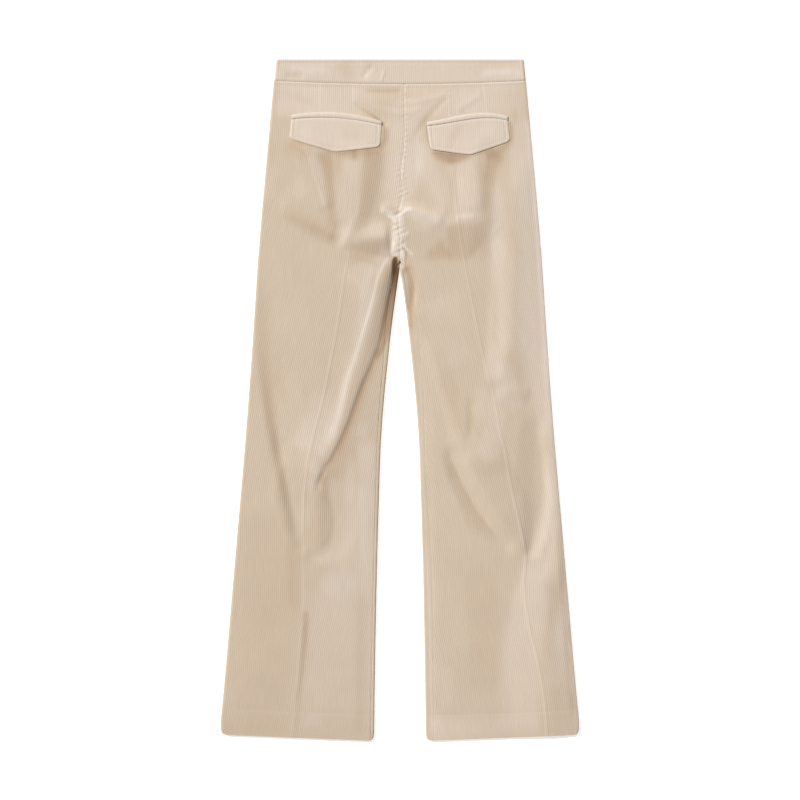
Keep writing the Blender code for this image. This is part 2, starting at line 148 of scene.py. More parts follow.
@dataclass(frozen=True)
class Chart:
    """The chart of squares: a square's side, and the column and row of its centre and top."""

    square: float = 1.5836 * MM
    centre: float = 399.8
    top: float = 59.0

    def across(self, column: Array) -> Array:
        """Metres across of a chart column."""
        return (np.asarray(column, float) - self.centre) * self.square

    def down(self, row: Array) -> Array:
        """Metres down of a chart row."""
        return (np.asarray(row, float) - self.top) * self.square


CHART = Chart()


@dataclass(frozen=True)
class Pattern:
    """The cut: outlines and seam lines of the pieces as they lie."""

    length: float = 1.080
    cloth: float = 0.0015
    band_cloth: float = 0.0022
    seam_gap: float = 0.0003
    sewn_gap: float = 0.00005
    waist_seam_down: float = 0.0390
    waist_seam_rise: float = 0.0052
    waist_half: float = 0.1964
    fork_down: float = 0.3310
    fork_tuck: float = 0.0140
    hem_slant: float = 0.0400
    hem_low_across: float = 0.0500
    hem_corner: float = 0.0100
    roll: float = 0.0024
    wale: float = 3.175 * MM
    wale_steps: int = 4
    side_seam: Line = Line((
        (0, 196.4), (65, 202.7), (192, 214.7), (318, 225.3), (445, 233.7), (572, 242.9),
        (762, 259.1), (1058, 284.6),
    ))
    inner_leg: Line = Line((
        (331, 0), (382, 7.3), (413, 11.4), (477, 18.6), (540, 24.9), (603, 29.5), (698, 32.9),
        (920, 38.3), (1080, 40.6),
    ))
    centre_back: Line = Line((
        (39, 7), (136, 7), (184, 2), (210, 4.5), (243, -2), (291, 0), (331, 0),
    ))
    left_wales: Line = Line((
        (39, -50), (120, -52), (215, -63), (287, -76), (358, -85), (421, -98), (556, -126),
        (635, -141), (683, -149), (762, -150), (880, -150), (920, -160), (983, -166),
        (1039, -172), (1080, -178),
    ))
    right_wales: Line = Line((
        (39, 78), (120, 82), (200, 91), (279, 100), (342, 111), (397, 122), (477, 139),
        (556, 151), (635, 175), (683, 187), (746, 198), (787, 203), (896, 210), (960, 222),
        (1055, 234), (1080, 237),
    ))
    left_strip: Line = Line(((331, 3), (360, 6), (500, 4), (1080, 3)))
    right_strip: Line = Line(((331, 3), (360, 9.5), (508, 11), (640, 6.5), (762, 11), (1080, 11)))

    def side_reach(self, down: Array) -> Array:
        """Outward place of the side seam."""
        return self.side_seam.at(down)

    def fork_reach(self, down: Array) -> Array:
        """Half the gap between the legs, and 0 above the fork."""
        return np.where(down > self.fork_down, self.inner_leg.at(down), 0)

    def waist_seam(self, across: Array) -> Array:
        """Down of the waist seam: lowest at the centre, rising as across squared."""
        return self.waist_seam_down - self.waist_seam_rise * (across / self.waist_half) ** 2

    def hem(self, across: Array) -> Array:
        """Down of the hems, which rise in a straight line towards the side seams."""
        beyond = np.maximum(np.abs(across) - self.hem_low_across, 0)
        return self.length - self.hem_slant * beyond

    def wale_line(self, side: Side, down: Array) -> Array:
        """Outward place of the wale that the pressed crease runs along."""
        line = self.left_wales if side is Side.LEFT else self.right_wales
        return side.value * line.at(down)

    def strip(self, side: Side, down: Array) -> Array:
        """Width of the front that shows on top, up to the inseam."""
        return (self.left_strip if side is Side.LEFT else self.right_strip).at(down)

    def edge_distance(self, across: Array, down: Array) -> Array:
        """Distance to the nearest rolled edge: the side seam, the inner leg or the fork."""
        side = self.side_reach(down) - np.abs(across)
        leg = np.abs(across) - self.fork_reach(down)
        fork = np.hypot(across, self.fork_down - down)
        return np.clip(np.minimum(side, np.where(down > self.fork_down, leg, fork)), 0, None)


@dataclass(frozen=True)
class Fold:
    """A ridge, or a trough where rise is negative, along a smooth path on the chart.

    Each station is (column, row, rise, right-hand width, left-hand width), the last three in
    millimetres, as seen by someone who walks the path. A width that stands alone is for both
    sides. Fades are millimetres along the path. A fold with a stitch comes and goes along it,
    once in every stitch of so many millimetres, a little unevenly.
    """

    name: str
    profile: Profile
    fade_in: float
    fade_out: float
    stations: Stations
    crest: float = 0.10
    foot: float = 0.05
    tent_end: Pair = (1.0, 1.6)
    patch_power: int = 6
    furthest: float = 2.4
    steps: int = 6
    stitch: float = 0.0
    uneven: Pair = (0.9, 0.37)
    thread_end: float = 0.5

    def add_to(self, height: Array, across: Array, down: Array) -> None:
        """Add the fold to a raster of heights.

        The distance to the nearest point of the path, over the width on that side, is t. A
        bell is exp(-t^2). A tent is 1 - sqrt(t^2 + crest^2), softly cut off at 0. A roll is a
        bell on the right and the parabola 1 - t^2, which ends in a lip, on the left. A patch is
        exp(-t^6), which is flat inside the width.

        Args:
            height: Raster to add to, one row for each down.
            across: Across of its columns.
            down: Down of its rows.
        """
        table = np.array([(*station, station[-1])[:5] for station in self.stations], float)
        points = np.stack([CHART.across(table[:, 0]), CHART.down(table[:, 1])], axis=1)
        lengths = np.linalg.norm(np.diff(points, axis=0), axis=1)
        knots = np.concatenate([[0], np.cumsum(lengths)])
        walked = np.linspace(0, knots[-1], self.steps * len(lengths) + 1)
        path = hermite(knots, points, walked)
        reach = table[:, 3:].max() * MM * self.furthest
        (west, north), (east, south) = path.min(axis=0) - reach, path.max(axis=0) + reach
        columns = slice(*np.searchsorted(across, (west, east)))
        rows = slice(*np.searchsorted(down, (north, south)))
        x, y = np.meshgrid(across[columns], down[rows])
        nearest = np.full(x.shape, np.inf)
        turn, along = np.zeros(x.shape), np.zeros(x.shape)
        passed = 0.0
        for start, step in zip(path[:-1], np.diff(path, axis=0)):
            length = float(np.hypot(*step))
            dx, dy = x - start[0], y - start[1]
            share = np.clip((dx * step[0] + dy * step[1]) / length**2, 0, 1)
            apart = np.hypot(dx - share * step[0], dy - share * step[1])
            closer = apart < nearest
            nearest = np.where(closer, apart, nearest)
            turn = np.where(closer, step[0] * dy - step[1] * dx, turn)
            along = np.where(closer, passed + share * length, along)
            passed += length
        rise, right, left = (np.interp(along, knots, table[:, i]) for i in (2, 3, 4))
        share = nearest / (np.where(turn > 0, right, left) * MM)
        if self.profile is Profile.BELL:
            shape = np.exp(-(share**2))
        elif self.profile is Profile.ROLL:
            arch = np.clip(1 - share**2, 0, 1)
            shape = np.where(turn > 0, np.exp(-(share**2)), arch)
        elif self.profile is Profile.PATCH:
            shape = np.exp(-(share**self.patch_power))
        else:
            slope = 1 - np.sqrt(share**2 + self.crest**2)
            shape = (slope + np.sqrt(slope**2 + self.foot**2)) / 2
            shape *= 1 - ramp(share, *self.tent_end)
        fade_in, fade_out = self.fade_in * MM, self.fade_out * MM
        ends = ramp(along, 0, fade_in) * ramp(passed - along, 0, fade_out)
        if self.stitch:
            turns = 2 * math.pi * along / (self.stitch * MM)
            sway, beat = self.uneven
            thread = np.cos(turns + sway * np.sin(beat * turns))
            ends *= ramp(thread, -self.thread_end, self.thread_end)
        height[rows, columns] += rise * MM * ends * shape


BELL, TENT, ROLL, PATCH = Profile
WIDE_FOLDS = (
    Fold("right seat hang", TENT, 24, 6, (
        (402, 238, .4, 30, 60), (416, 230, 1.6, 30, 100), (430, 227, 3.2, 46, 110),
        (445, 225, 4.4, 58, 120), (468, 221, 5.2, 60, 120), (476, 222, 4.6, 58, 110),
        (486, 225, 2.8, 50, 70), (493, 229, 1.2, 40, 34), (499, 234, .4, 30, 20))),
    Fold("right seat side", TENT, 40, 16, (
        (480, 125, .9, 26, 24), (477, 160, 1.68, 30, 22), (476, 190, 1.92, 32, 22),
        (476, 214, 1.2, 30, 22))),
    Fold("right crotch wing", TENT, 8, 14, (
        (398, 217, 1.8, 12), (408, 210, 2.6, 16, 12), (425, 213, 3, 16), (446, 223, 2.4, 14, 18))),
    Fold("right seat dip", BELL, 20, 10, (
        (455, 165, -.4, 6), (454, 200, -.52, 6), (453, 216, -.32, 5))),
    Fold("left seat outer crest", TENT, 20, 8, (
        (302, 142, .99, 30), (308, 160, 1.32, 26, 30), (316, 180, 1.45, 26),
        (325, 198, 1.45, 26, 18), (329, 209, 1.12, 26, 12))),
    Fold("left seat crest", TENT, 24, 20, (
        (364, 138, 1.68, 50, 40), (363, 155, 2.52, 50, 40), (361, 180, 2.69, 48, 32),
        (358, 210, 2.52, 42, 26), (353, 232, 1.68, 30, 20))),
    Fold("left seat hang", TENT, 24, 10, (
        (333, 251, .9, 26), (346, 246, 2.4, 32), (360, 241, 3.6, 34, 32), (375, 238, 4.2, 36, 32),
        (391, 236, 3.6, 34, 26))),
    Fold("left seat ridge", BELL, 12, 6, (
        (356, 214, .36, 7), (350, 232, 1.08, 6, 7), (340, 250, .84, 6))),
    Fold("left seat low crest", TENT, 24, 10, (
        (272, 204, .75, 16, 60), (292, 216, 1.5, 15, 60), (312, 227, 1.7, 14, 60),
        (334, 239, 1.25, 14, 40))),
    Fold("left crotch wing", TENT, 6, 6, (
        (380, 208, 2, 9, 12), (388, 210, 2.6, 9, 12), (396, 217, 2.6, 9, 10))),
    Fold("crotch bunch", BELL, 14, 6, (
        (398, 214, 1.6, 9), (399, 238, 2.2, 10, 9), (398, 253, 1.6, 8, 9))),
    Fold("thigh roll", ROLL, 10, 14, (
        (389, 258, 2, 50, 8), (387.5, 264, 2.8, 60, 12), (382, 280, 4, 75, 17),
        (377.5, 300, 3.1, 80, 17), (372.5, 320, 2.2, 80, 16), (366.5, 340, 2, 60, 16),
        (361, 360, 2.8, 26, 20), (355, 380, 2.8, 18, 16), (349.5, 400, 2, 17, 13),
        (343.5, 420, 1.6, 16, 10.5), (336.5, 440, 1.4, 16, 8.5), (324, 460, .9, 18, 9),
        (314, 472, .4, 18, 6))),
    Fold("left outer valley", TENT, 60, 16, (
        (268, 260, -.5, 30, 60), (266, 330, -.9, 20, 60), (267, 375, -1.8, 14, 50),
        (273, 415, -2.8, 13, 50), (279, 446, -4, 12, 50), (285.5, 477, -4, 13, 50),
        (292, 505, -3.6, 14, 50), (297, 533, -3, 14, 40), (302, 556, -1.8, 14, 30))),
    Fold("left knee shelf", TENT, 20, 30, (
        (272, 462, 1.6, 60, 36), (290, 466, 2.6, 60, 44), (312, 467, 2.6, 60, 44),
        (328, 462, 1.4, 50, 40))),
    Fold("left bay", TENT, 14, 12, (
        (320, 474, -.8, 16, 30), (328, 487, -1.6, 22, 40), (332, 505, -2.4, 24, 44),
        (333, 528, -2.56, 24, 44), (329, 545, -2.24, 22, 30), (317, 553, -1.76, 20, 22),
        (304, 553, -.96, 18))),
    Fold("right drag ridge", TENT, 10, 50, (
        (409, 313, 1.4, 14, 30), (421, 331, 1.6, 14, 40), (430, 348, 1.6, 14, 50),
        (439, 374, 1.5, 14, 55), (447, 397, 1.6, 14, 55), (455, 420, 2, 15, 55),
        (462, 446, 2.6, 22, 60), (473, 471, 3, 28, 62), (487, 496, 3, 30, 60),
        (503, 519, 2.2, 28, 50), (521, 540, 1.4, 24, 40))),
    Fold("right knee trough", TENT, 22, 22, (
        (447, 444, -2, 12, 20), (457, 475, -4.6, 16, 26), (470, 499, -5, 17, 26),
        (484, 520, -4.6, 17, 24), (500, 539, -3.6, 16, 20), (517, 553, -1.8, 14))),
    Fold("right knee bulge", TENT, 14, 14, (
        (462, 456, .8, 26, 40), (478, 460, 1.6, 28, 50), (494, 460, 1.6, 28, 50),
        (508, 456, .8, 24, 30))),
    Fold("right thigh dent", BELL, 12, 12, (
        (470, 396, -.55, 6), (471, 420, -.9, 6), (469, 442, -.7, 6))),
    Fold("right thigh swell", TENT, 60, 20, (
        (516, 150, 2, 30), (515, 190, 3, 32, 36), (514, 250, 3.4, 34, 40), (511, 320, 3.6, 36, 50),
        (505, 365, 3.4, 34, 56), (496, 393, 2.2, 26, 50))),
    Fold("right outer trough", BELL, 50, 20, (
        (520, 260, -.37, 14), (526, 330, -.48, 14), (531, 400, -.68, 13, 12),
        (534, 440, -.88, 12, 10))),
    Fold("right knee step", TENT, 8, 10, (
        (495, 396, 1.2, 20, 14), (513, 392, 1.7, 22, 16), (531, 396, 1.2, 20, 14))),
    Fold("right knee wedge", TENT, 50, 5, (
        (540, 405, -.93, 20, 13), (538, 435, -3, 32, 12), (539.5, 465, -4.2, 36, 13),
        (539.5, 500, -4.2, 30, 19), (535, 530, -3.8, 20, 21), (529, 557, -2.8, 10, 17))),
    Fold("right shin ridge", TENT, 60, 50, (
        (551, 360, 1, 18, 14), (557, 400, 1.6, 20, 14), (562, 440, 2, 22, 14),
        (566, 490, 2.2, 24, 14), (567, 530, 2.2, 26, 16), (564, 566, 2, 30, 20),
        (556, 600, 1.4, 40, 24))),
    Fold("right crease swell", TENT, 50, 30, (
        (542, 552, 1.6, 26, 40), (547, 600, 3.2, 56, 40), (547, 650, 3.4, 62, 44),
        (549, 690, 3.2, 62, 44), (553, 760, 3, 62, 40))),
)
FINE_FOLDS = (
    Fold("thigh rim", ROLL, 8, 20, (
        (385.5, 262, .5, 3, 8), (378, 280, .5, 3, 12), (373.5, 300, .45, 3, 13),
        (367.5, 320, .4, 3, 16), (361, 340, .4, 3, 16), (356, 360, .3, 4, 14), (349, 380, .2, 5, 8),
        (345, 400, .2, 5, 8), (340, 420, .2, 5, 6))),
    Fold("thigh crevice", BELL, 16, 10, (
        (395, 266, -1.5, 6, 8), (391, 292, -1.6, 7, 8), (386, 320, -1.4, 6), (379, 345, -1, 4, 6),
        (372, 364, -.7, 3, 6), (363.5, 382, -.6, 2.4, 6), (356.5, 400, -.6, 2.4, 6),
        (349.5, 420, -.6, 2.4, 6), (340.5, 440, -.6, 2.4, 6), (330.5, 460, -.5, 2.4, 6),
        (321, 473, -.4, 3, 5))),
    Fold("right bag lip", BELL, 6, 6, ((455, 218, .6, 5), (466, 218, .8, 5), (477, 217, .6, 5))),
    Fold("right inner trough", BELL, 10, 5, (
        (404, 268, -3.1, 6, 7), (411, 284, -4, 8, 7), (411, 298, -4, 8, 6),
        (409, 309, -4.7, 6, 5))),
    Fold("left notch", TENT, 4, 4, (
        (325, 471, -1.1, 6, 5), (319, 482, -1.1, 7), (318, 492, -.6, 6, 7))),
    Fold("left crease fall", TENT, 6, 10, (
        (303, 606, .3, 40, 9), (303, 618, .7, 40, 9), (300, 650, .7, 44, 9), (297, 690, .5, 44, 8),
        (290, 760, .4, 44, 8))),
    Fold("left crease", BELL, 60, 30, (
        (352, 240, .27, 2), (345, 275, .27, 2), (338, 323, .32, 2), (330, 365, .32, 2),
        (324, 395, .32, 2), (315, 430, .27, 2), (308, 462, .27, 2), (305, 490, .32, 2),
        (303, 540, .43, 2))),
    Fold("right crease", BELL, 30, 30, (
        (455, 175, .27, 2), (457, 210, .27, 2), (465, 262, .27, 2), (478, 330, .32, 2),
        (488, 375, .32, 2), (495, 400, .27, 2), (500, 430, .32, 2), (505, 450, .43, 2),
        (510, 480, .43, 2), (520, 525, .55, 2), (526, 557, .43, 2), (524, 580, .32, 2),
        (528, 620, .32, 2), (535, 650, .38, 2), (543, 690, .38, 2), (549, 760, .38, 2))),
    Fold("waist trough", BELL, 12, 4, (
        (364, 91.5, -.31, 3, 4), (380, 91.5, -.9, 4), (402, 91, -.9, 4))),
    Fold("waist drape", BELL, 14, 14, (
        (352, 90, .31, 4), (378, 101, .46, 5), (402, 104, .46, 5), (430, 99, .46, 5),
        (452, 92, .31, 4))),
    Fold("lower waist drape", BELL, 14, 10, (
        (370, 104, .31, 4), (388, 112, .46, 5), (404, 113, .46, 5), (425, 107, .31, 4))),
    Fold("left flap pull", BELL, 8, 6, (
        (352, 102, -.62, 4), (366, 109, -1.1, 4, 5), (378, 117, -1.4, 4, 6),
        (386, 128, -1.1, 5, 6))),
    Fold("right flap pull", BELL, 8, 12, (
        (449, 97, -.3, 5, 4), (441, 104, -.6, 5, 4), (433, 112, -.66, 6, 5), (425, 122, -.54, 6, 5),
        (417, 133, -.3, 5), (410, 146, -.18, 5))),
    Fold("right hip pull", BELL, 8, 8, (
        (484, 92, .4, 6, 5), (470, 102, .48, 6, 5), (455, 112, .4, 6, 5))),
    Fold("outer left dart", BELL, 1, 8, ((318.5, 84, -.16, 1.2), (319, 110, -.16, 1.2))),
    Fold("inner left dart", BELL, 1, 8, ((352.5, 84, -.16, 1.2), (352.5, 116, -.16, 1.2))),
    Fold("inner right dart", BELL, 1, 8, ((449, 84, -.16, 1.2), (449, 118, -.16, 1.2))),
    Fold("outer right dart", BELL, 1, 8, ((481.5, 82, -.16, 1.2), (487, 118, -.16, 1.2))),
    Fold("left hem stitching", BELL, 4, 4, (
        (222, 708, -.12, 1.6), (300, 712, -.12, 1.6), (372, 715, -.12, 1.6))),
    Fold("right hem stitching", BELL, 4, 4, (
        (428, 715, -.12, 1.6), (500, 714, -.12, 1.6), (576, 710, -.12, 1.6))),
    Fold("band top turning", BELL, 4, 4, (
        (278, 62.6, -.46, 1.2), (400, 62.6, -.46, 1.2), (522, 62.6, -.46, 1.2))),
    Fold("band blob", BELL, 6, 6, ((284, 76, -.78, 5, 4), (306, 75, -.62, 5, 4))),
    Fold("band diagonal", BELL, 5, 5, ((374, 64, -.62, 4), (362, 78, -.78, 4))),
    Fold("band wrinkle", BELL, 3, 3, ((385, 70, .62, 1.6), (381, 82, .62, 1.6))),
    Fold("band streak", BELL, 8, 8, ((482, 75, .54, 3, 4), (516, 72, .54, 3, 4))),
)

# Painted light and shade in the pile's colour, with some of the pile's own brushing. Pale strokes
# paint highlights on crests, seams, creases and the crotch bunch. Dark ones paint shadow in the
# hollow by the thigh roll, under the flaps and along folds. The pricks are stitch marks.
PAINTED_SHADING_AND_STITCH_STROKES = (
    Fold("left wing", PATCH, 3, 4, ((380, 209, .16, 4), (387, 212, .2, 6, 5), (397, 219, .2, 6))),
    Fold("left finger edge", BELL, 4, 4, (
        (303, 146, .09, 2, 1.6), (309, 158, .09, 2, 1.6), (313, 172, .07, 2, 1.6),
        (318, 186, .08, 2, 1.6), (322, 199, .08, 2, 1.6), (325, 208, .06, 2, 1.6))),
    Fold("left notch shade", BELL, 2, 2, ((354, 149, -.2, 4), (355, 161, -.12, 4))),
    Fold("left column rim", BELL, 10, 10, (
        (359, 190, .06, 1.6), (357.5, 205, .07, 1.6), (354.5, 220, .07, 1.6))),
    Fold("right seat line", BELL, 10, 8, (
        (454.5, 163, -.1, 1.4), (455.5, 185, -.09, 1.4), (457, 208, -.08, 1.4))),
    Fold("flap low line left", BELL, 3, 3, (
        (292, 140.5, -.06, 1.6, 2), (300, 143.5, -.14, 1.6, 4), (320, 148, -.16, 1.6, 4),
        (334, 153.4, -.18, 1.6, 3), (360, 150.4, -.3, 1.6, 5), (378, 148, -.26, 1.6, 3))),
    Fold("flap low line right", BELL, 3, 3, (
        (431, 152, -.2, 1.6), (452, 154.6, -.26, 1.6, 3), (470, 156, -.16, 1.6),
        (490, 150.5, -.2, 1.6, 3), (508, 143.5, -.16, 1.6))),
    Fold("bunch line", BELL, 6, 4, (
        (399, 219, -.16, 1.2), (398.5, 230, -.12, 1.2), (399.5, 240, -.08, 1.2))),
    Fold("bunch collar", BELL, 3, 3, (
        (387, 216, .3, 2), (395, 216.5, .35, 1.6, 1.8), (400, 215, .35, 1.6, 1.8),
        (406, 209.5, .4, 2), (413, 208, .3, 3, 2))),
    Fold("bunch pucker one", BELL, 3, 3, (
        (390, 222, -.25, 1.2), (395, 224, -.3, 1.2), (399, 222, -.2, 1.2))),
    Fold("bunch pucker two", BELL, 3, 3, (
        (392, 231, -.25, 1.2), (396, 229, -.3, 1.2), (400, 226, -.25, 1.2))),
    Fold("bunch pucker three", BELL, 3, 3, (
        (401, 237, .35, 1.4), (405, 234, .4, 1.4), (410, 231, .25, 1.6))),
    Fold("bunch pucker four", BELL, 3, 3, (
        (400, 242, -.3, 1.2), (404, 241, -.3, 1.2), (409, 237, -.2, 1.4))),
    Fold("bunch pucker five", BELL, 3, 4, (
        (401, 243.5, .4, 1.2), (406, 248, .35, 1.4), (414, 256, .2, 2.4))),
    Fold("bunch pucker six", BELL, 3, 3, (
        (393.5, 240, .25, 1.4), (392.5, 248, .3, 1.4), (391, 254, .2, 1.4))),
    Fold("bunch pucker seven", BELL, 3, 3, (
        (397.5, 240, -.2, 1.2), (397, 247, -.25, 1.2), (396, 252, -.15, 1.2))),
    Fold("crisp fold", BELL, 3, 6, (
        (401, 244, -.3, 1.6, 1.2), (406, 253, -.4, 1.6, 1.2), (405.5, 262, -.35, 1.6, 1.2),
        (405.5, 275, -.25, 1.6, 1.2))),
    Fold("arch", BELL, 4, 60, (
        (389, 255, .25, 2.4), (384, 264, .2, 2.4), (377.5, 280, .2, 2.4), (373, 299, .23, 3),
        (367, 319, .2, 3), (360.5, 341, .18, 4), (354, 360, .18, 5), (346.5, 380, .22, 6),
        (342, 400, .25, 7, 6), (337, 420, .25, 8, 6), (330, 440, .25, 10, 6),
        (318, 458, .18, 10, 6))),
    Fold("right strip", BELL, 4, 40, (
        (402, 250, .2, 3), (404.5, 268, .2, 3), (407, 300, .13, 3), (411, 335, .04, 3))),
    Fold("hollow", PATCH, 1.5, 14, (
        (395, 256, -1, 1.5, 3.5), (394.5, 261.5, -1, 5, 6), (395, 272, -1, 6, 8),
        (394.5, 284, -.9, 6, 8), (391.5, 300, -.66, 8), (387, 320, -.58, 8, 9),
        (382.5, 340, -.46, 7, 8), (378, 352, -.35, 5, 7), (373, 362, -.2, 3, 5))),
    Fold("bunch", PATCH, 8, 4, (
        (397, 212, .22, 10, 9), (398.5, 226, .28, 12), (398.5, 240, .34, 13),
        (397.5, 252, .34, 12, 13), (398, 258, .3, 8))),
    Fold("bunch left fold", BELL, 4, 4, (
        (391, 224, -.08, 2, 1.4), (391.5, 238, -.12, 2, 1.4), (389, 252, -.1, 2, 1.4))),
    Fold("bunch right fold", BELL, 4, 4, (
        (405.5, 222, -.1, 1.4, 1.6), (404, 236, -.16, 1.4, 1.6), (401.5, 245, -.16, 1.4, 1.6))),
    Fold("lip shade", BELL, 20, 8, (
        (380, 342, -.12, 3, 7), (374.5, 361, -.24, 4, 7), (365, 381, -.3, 3.4, 8),
        (357.5, 400, -.3, 3.4, 8), (350.5, 420, -.3, 3.4, 8), (341.5, 440, -.28, 3.4, 8),
        (331, 460, -.22, 3.4, 9), (322, 473, -.12, 4, 9), (320, 486, -.12, 6, 8))),
    Fold("bay rim", BELL, 8, 12, (
        (321, 490, -.05, 5, 3), (329, 503, -.07, 6, 3), (332, 526, -.08, 7, 3),
        (328, 541, -.05, 7, 3), (317, 549, -.03, 6, 3))),
    Fold("bay edge light", BELL, 8, 12, (
        (334, 549, .06, 3, 8), (322, 558, .08, 2, 8), (308, 559, .03, 2, 6))),
    Fold("right pull shade", BELL, 8, 14, (
        (449, 97, -.04, 4, 5), (441, 104, -.08, 5), (433, 112, -.1, 5, 6), (425, 122, -.1, 6),
        (416, 134, -.06, 6), (409, 148, -.04, 6))),
    Fold("right lens", BELL, 6, 16, (
        (404, 264, -.2, 4, 7), (411, 284, -.26, 7, 9), (410, 305, -.34, 4, 5),
        (411, 335, -.12, 4, 5))),
    Fold("left flap end shade", BELL, 3, 6, (
        (382.5, 121, -.3, 2, 2.4), (384.5, 132, -.24, 3, 6), (383, 142, -.3, 3, 6),
        (377, 150, -.24, 3, 5))),
    Fold("right flap end shade", BELL, 3, 4, (
        (509, 120, -.2, 2, 3), (510.5, 128, -.34, 2, 4), (511, 138, -.24, 2, 4),
        (507, 145, -.2, 2, 6), (494, 151, -.24, 2, 12), (484, 154, -.2, 2, 10))),
    Fold("right flap left shade", BELL, 3, 3, (
        (426.3, 124, -.2, 1.4), (427.5, 138, -.25, 1.4), (431, 150.5, -.25, 1.4))),
    Fold("left pull shade", BELL, 6, 3, (
        (353, 104, -.1, 3, 2), (366, 110.5, -.18, 4, 2), (376, 117.5, -.24, 4, 2),
        (382, 122, -.3, 3, 2))),
    Fold("waist trough shade", BELL, 10, 3, (
        (362, 90, -.05, 4), (378, 91.5, -.16, 4), (394, 91.5, -.2, 4), (403, 90.5, -.12, 4))),
    Fold("centre back", BELL, 4, 10, (
        (404.2, 85, .13, 1.6), (404.3, 145, .13, 1.6), (401.5, 178, .1, 1.6), (402, 196, .13, 1.6),
        (399, 212, .13, 1.6))),
    Fold("centre back pricks", BELL, 2, 10, (
        (405.6, 90, -.3, 1), (405.8, 145, -.3, 1), (403.2, 178, -.3, 1),
        (403.5, 196, -.3, 1)), stitch=9),
    Fold("waist seam light", BELL, 4, 4, (
        (277, 82, .12, 1.4, 1.2), (330, 83.4, .12, 1.4, 1.2), (400, 84.8, .12, 1.4, 1.2),
        (470, 83.6, .12, 1.4, 1.2), (524, 82, .12, 1.4, 1.2))),
    Fold("inner right dart", BELL, 2, 8, ((449, 84, .13, 1.2), (449, 118, .12, 1.2))),
    Fold("inner right dart pricks", BELL, 2, 8, (
        (450.3, 86, -.35, .9), (450.3, 118, -.3, .9)), stitch=7),
    Fold("inner left dart", BELL, 2, 8, ((352.5, 84, .1, 1.2), (352.5, 110, .07, 1.2))),
    Fold("outer left dart", BELL, 2, 8, ((318.5, 84, .1, 1.2), (319, 108, .07, 1.2))),
    Fold("outer right dart", BELL, 2, 8, ((481.5, 83, .1, 1.2), (487, 118, .07, 1.2))),
    Fold("trough shade", BELL, 20, 20, (
        (449, 456, -.1, 5, 3), (458, 478, -.14, 5, 3), (469, 500, -.14, 5, 3),
        (483, 521, -.12, 6, 3), (499, 541, -.1, 6, 3))),
    Fold("left crease light", BELL, 40, 30, (
        (352, 240, .02, 1.4), (345, 275, .03, 1.4), (338, 323, .03, 1.4), (330, 365, .03, 1.4),
        (324, 395, .03, 1.4), (315, 430, .02, 1.4), (308, 462, .02, 1.4), (304, 500, .03, 1.4),
        (302.5, 555, .08, 1.4), (303, 610, .08, 1.4), (299, 650, .07, 1.4), (296, 690, .06, 1.4),
        (290, 740, .06, 1.4))),
    Fold("left crease dark", BELL, 2, 60, (
        (306, 611, -.16, 5), (305.5, 625, -.16, 5), (304, 650, -.14, 5), (300.5, 680, -.1, 4),
        (295, 705, -.08, 3), (292, 728, -.05, 3))),
    Fold("right crease light", BELL, 20, 30, (
        (457, 176, .01, 1.3), (466, 265, .01, 1.3), (478, 330, .02, 1.3), (488, 375, .03, 1.3),
        (495, 400, .03, 1.3), (505, 450, .02, 1.3), (512, 490, .03, 1.3), (520, 525, .03, 1.3),
        (526, 555, .03, 1.3), (524, 580, .04, 1.3), (528, 620, .05, 1.3), (535, 650, .06, 1.3),
        (543, 690, .06, 1.3), (548, 740, .05, 1.3))),
    Fold("right inseam", BELL, 20, 20, (
        (420, 360, .12, 1.4), (422, 450, .12, 1.4), (427, 560, .13, 1.4), (430, 640, .13, 1.4),
        (432, 735, .1, 1.4))),
)
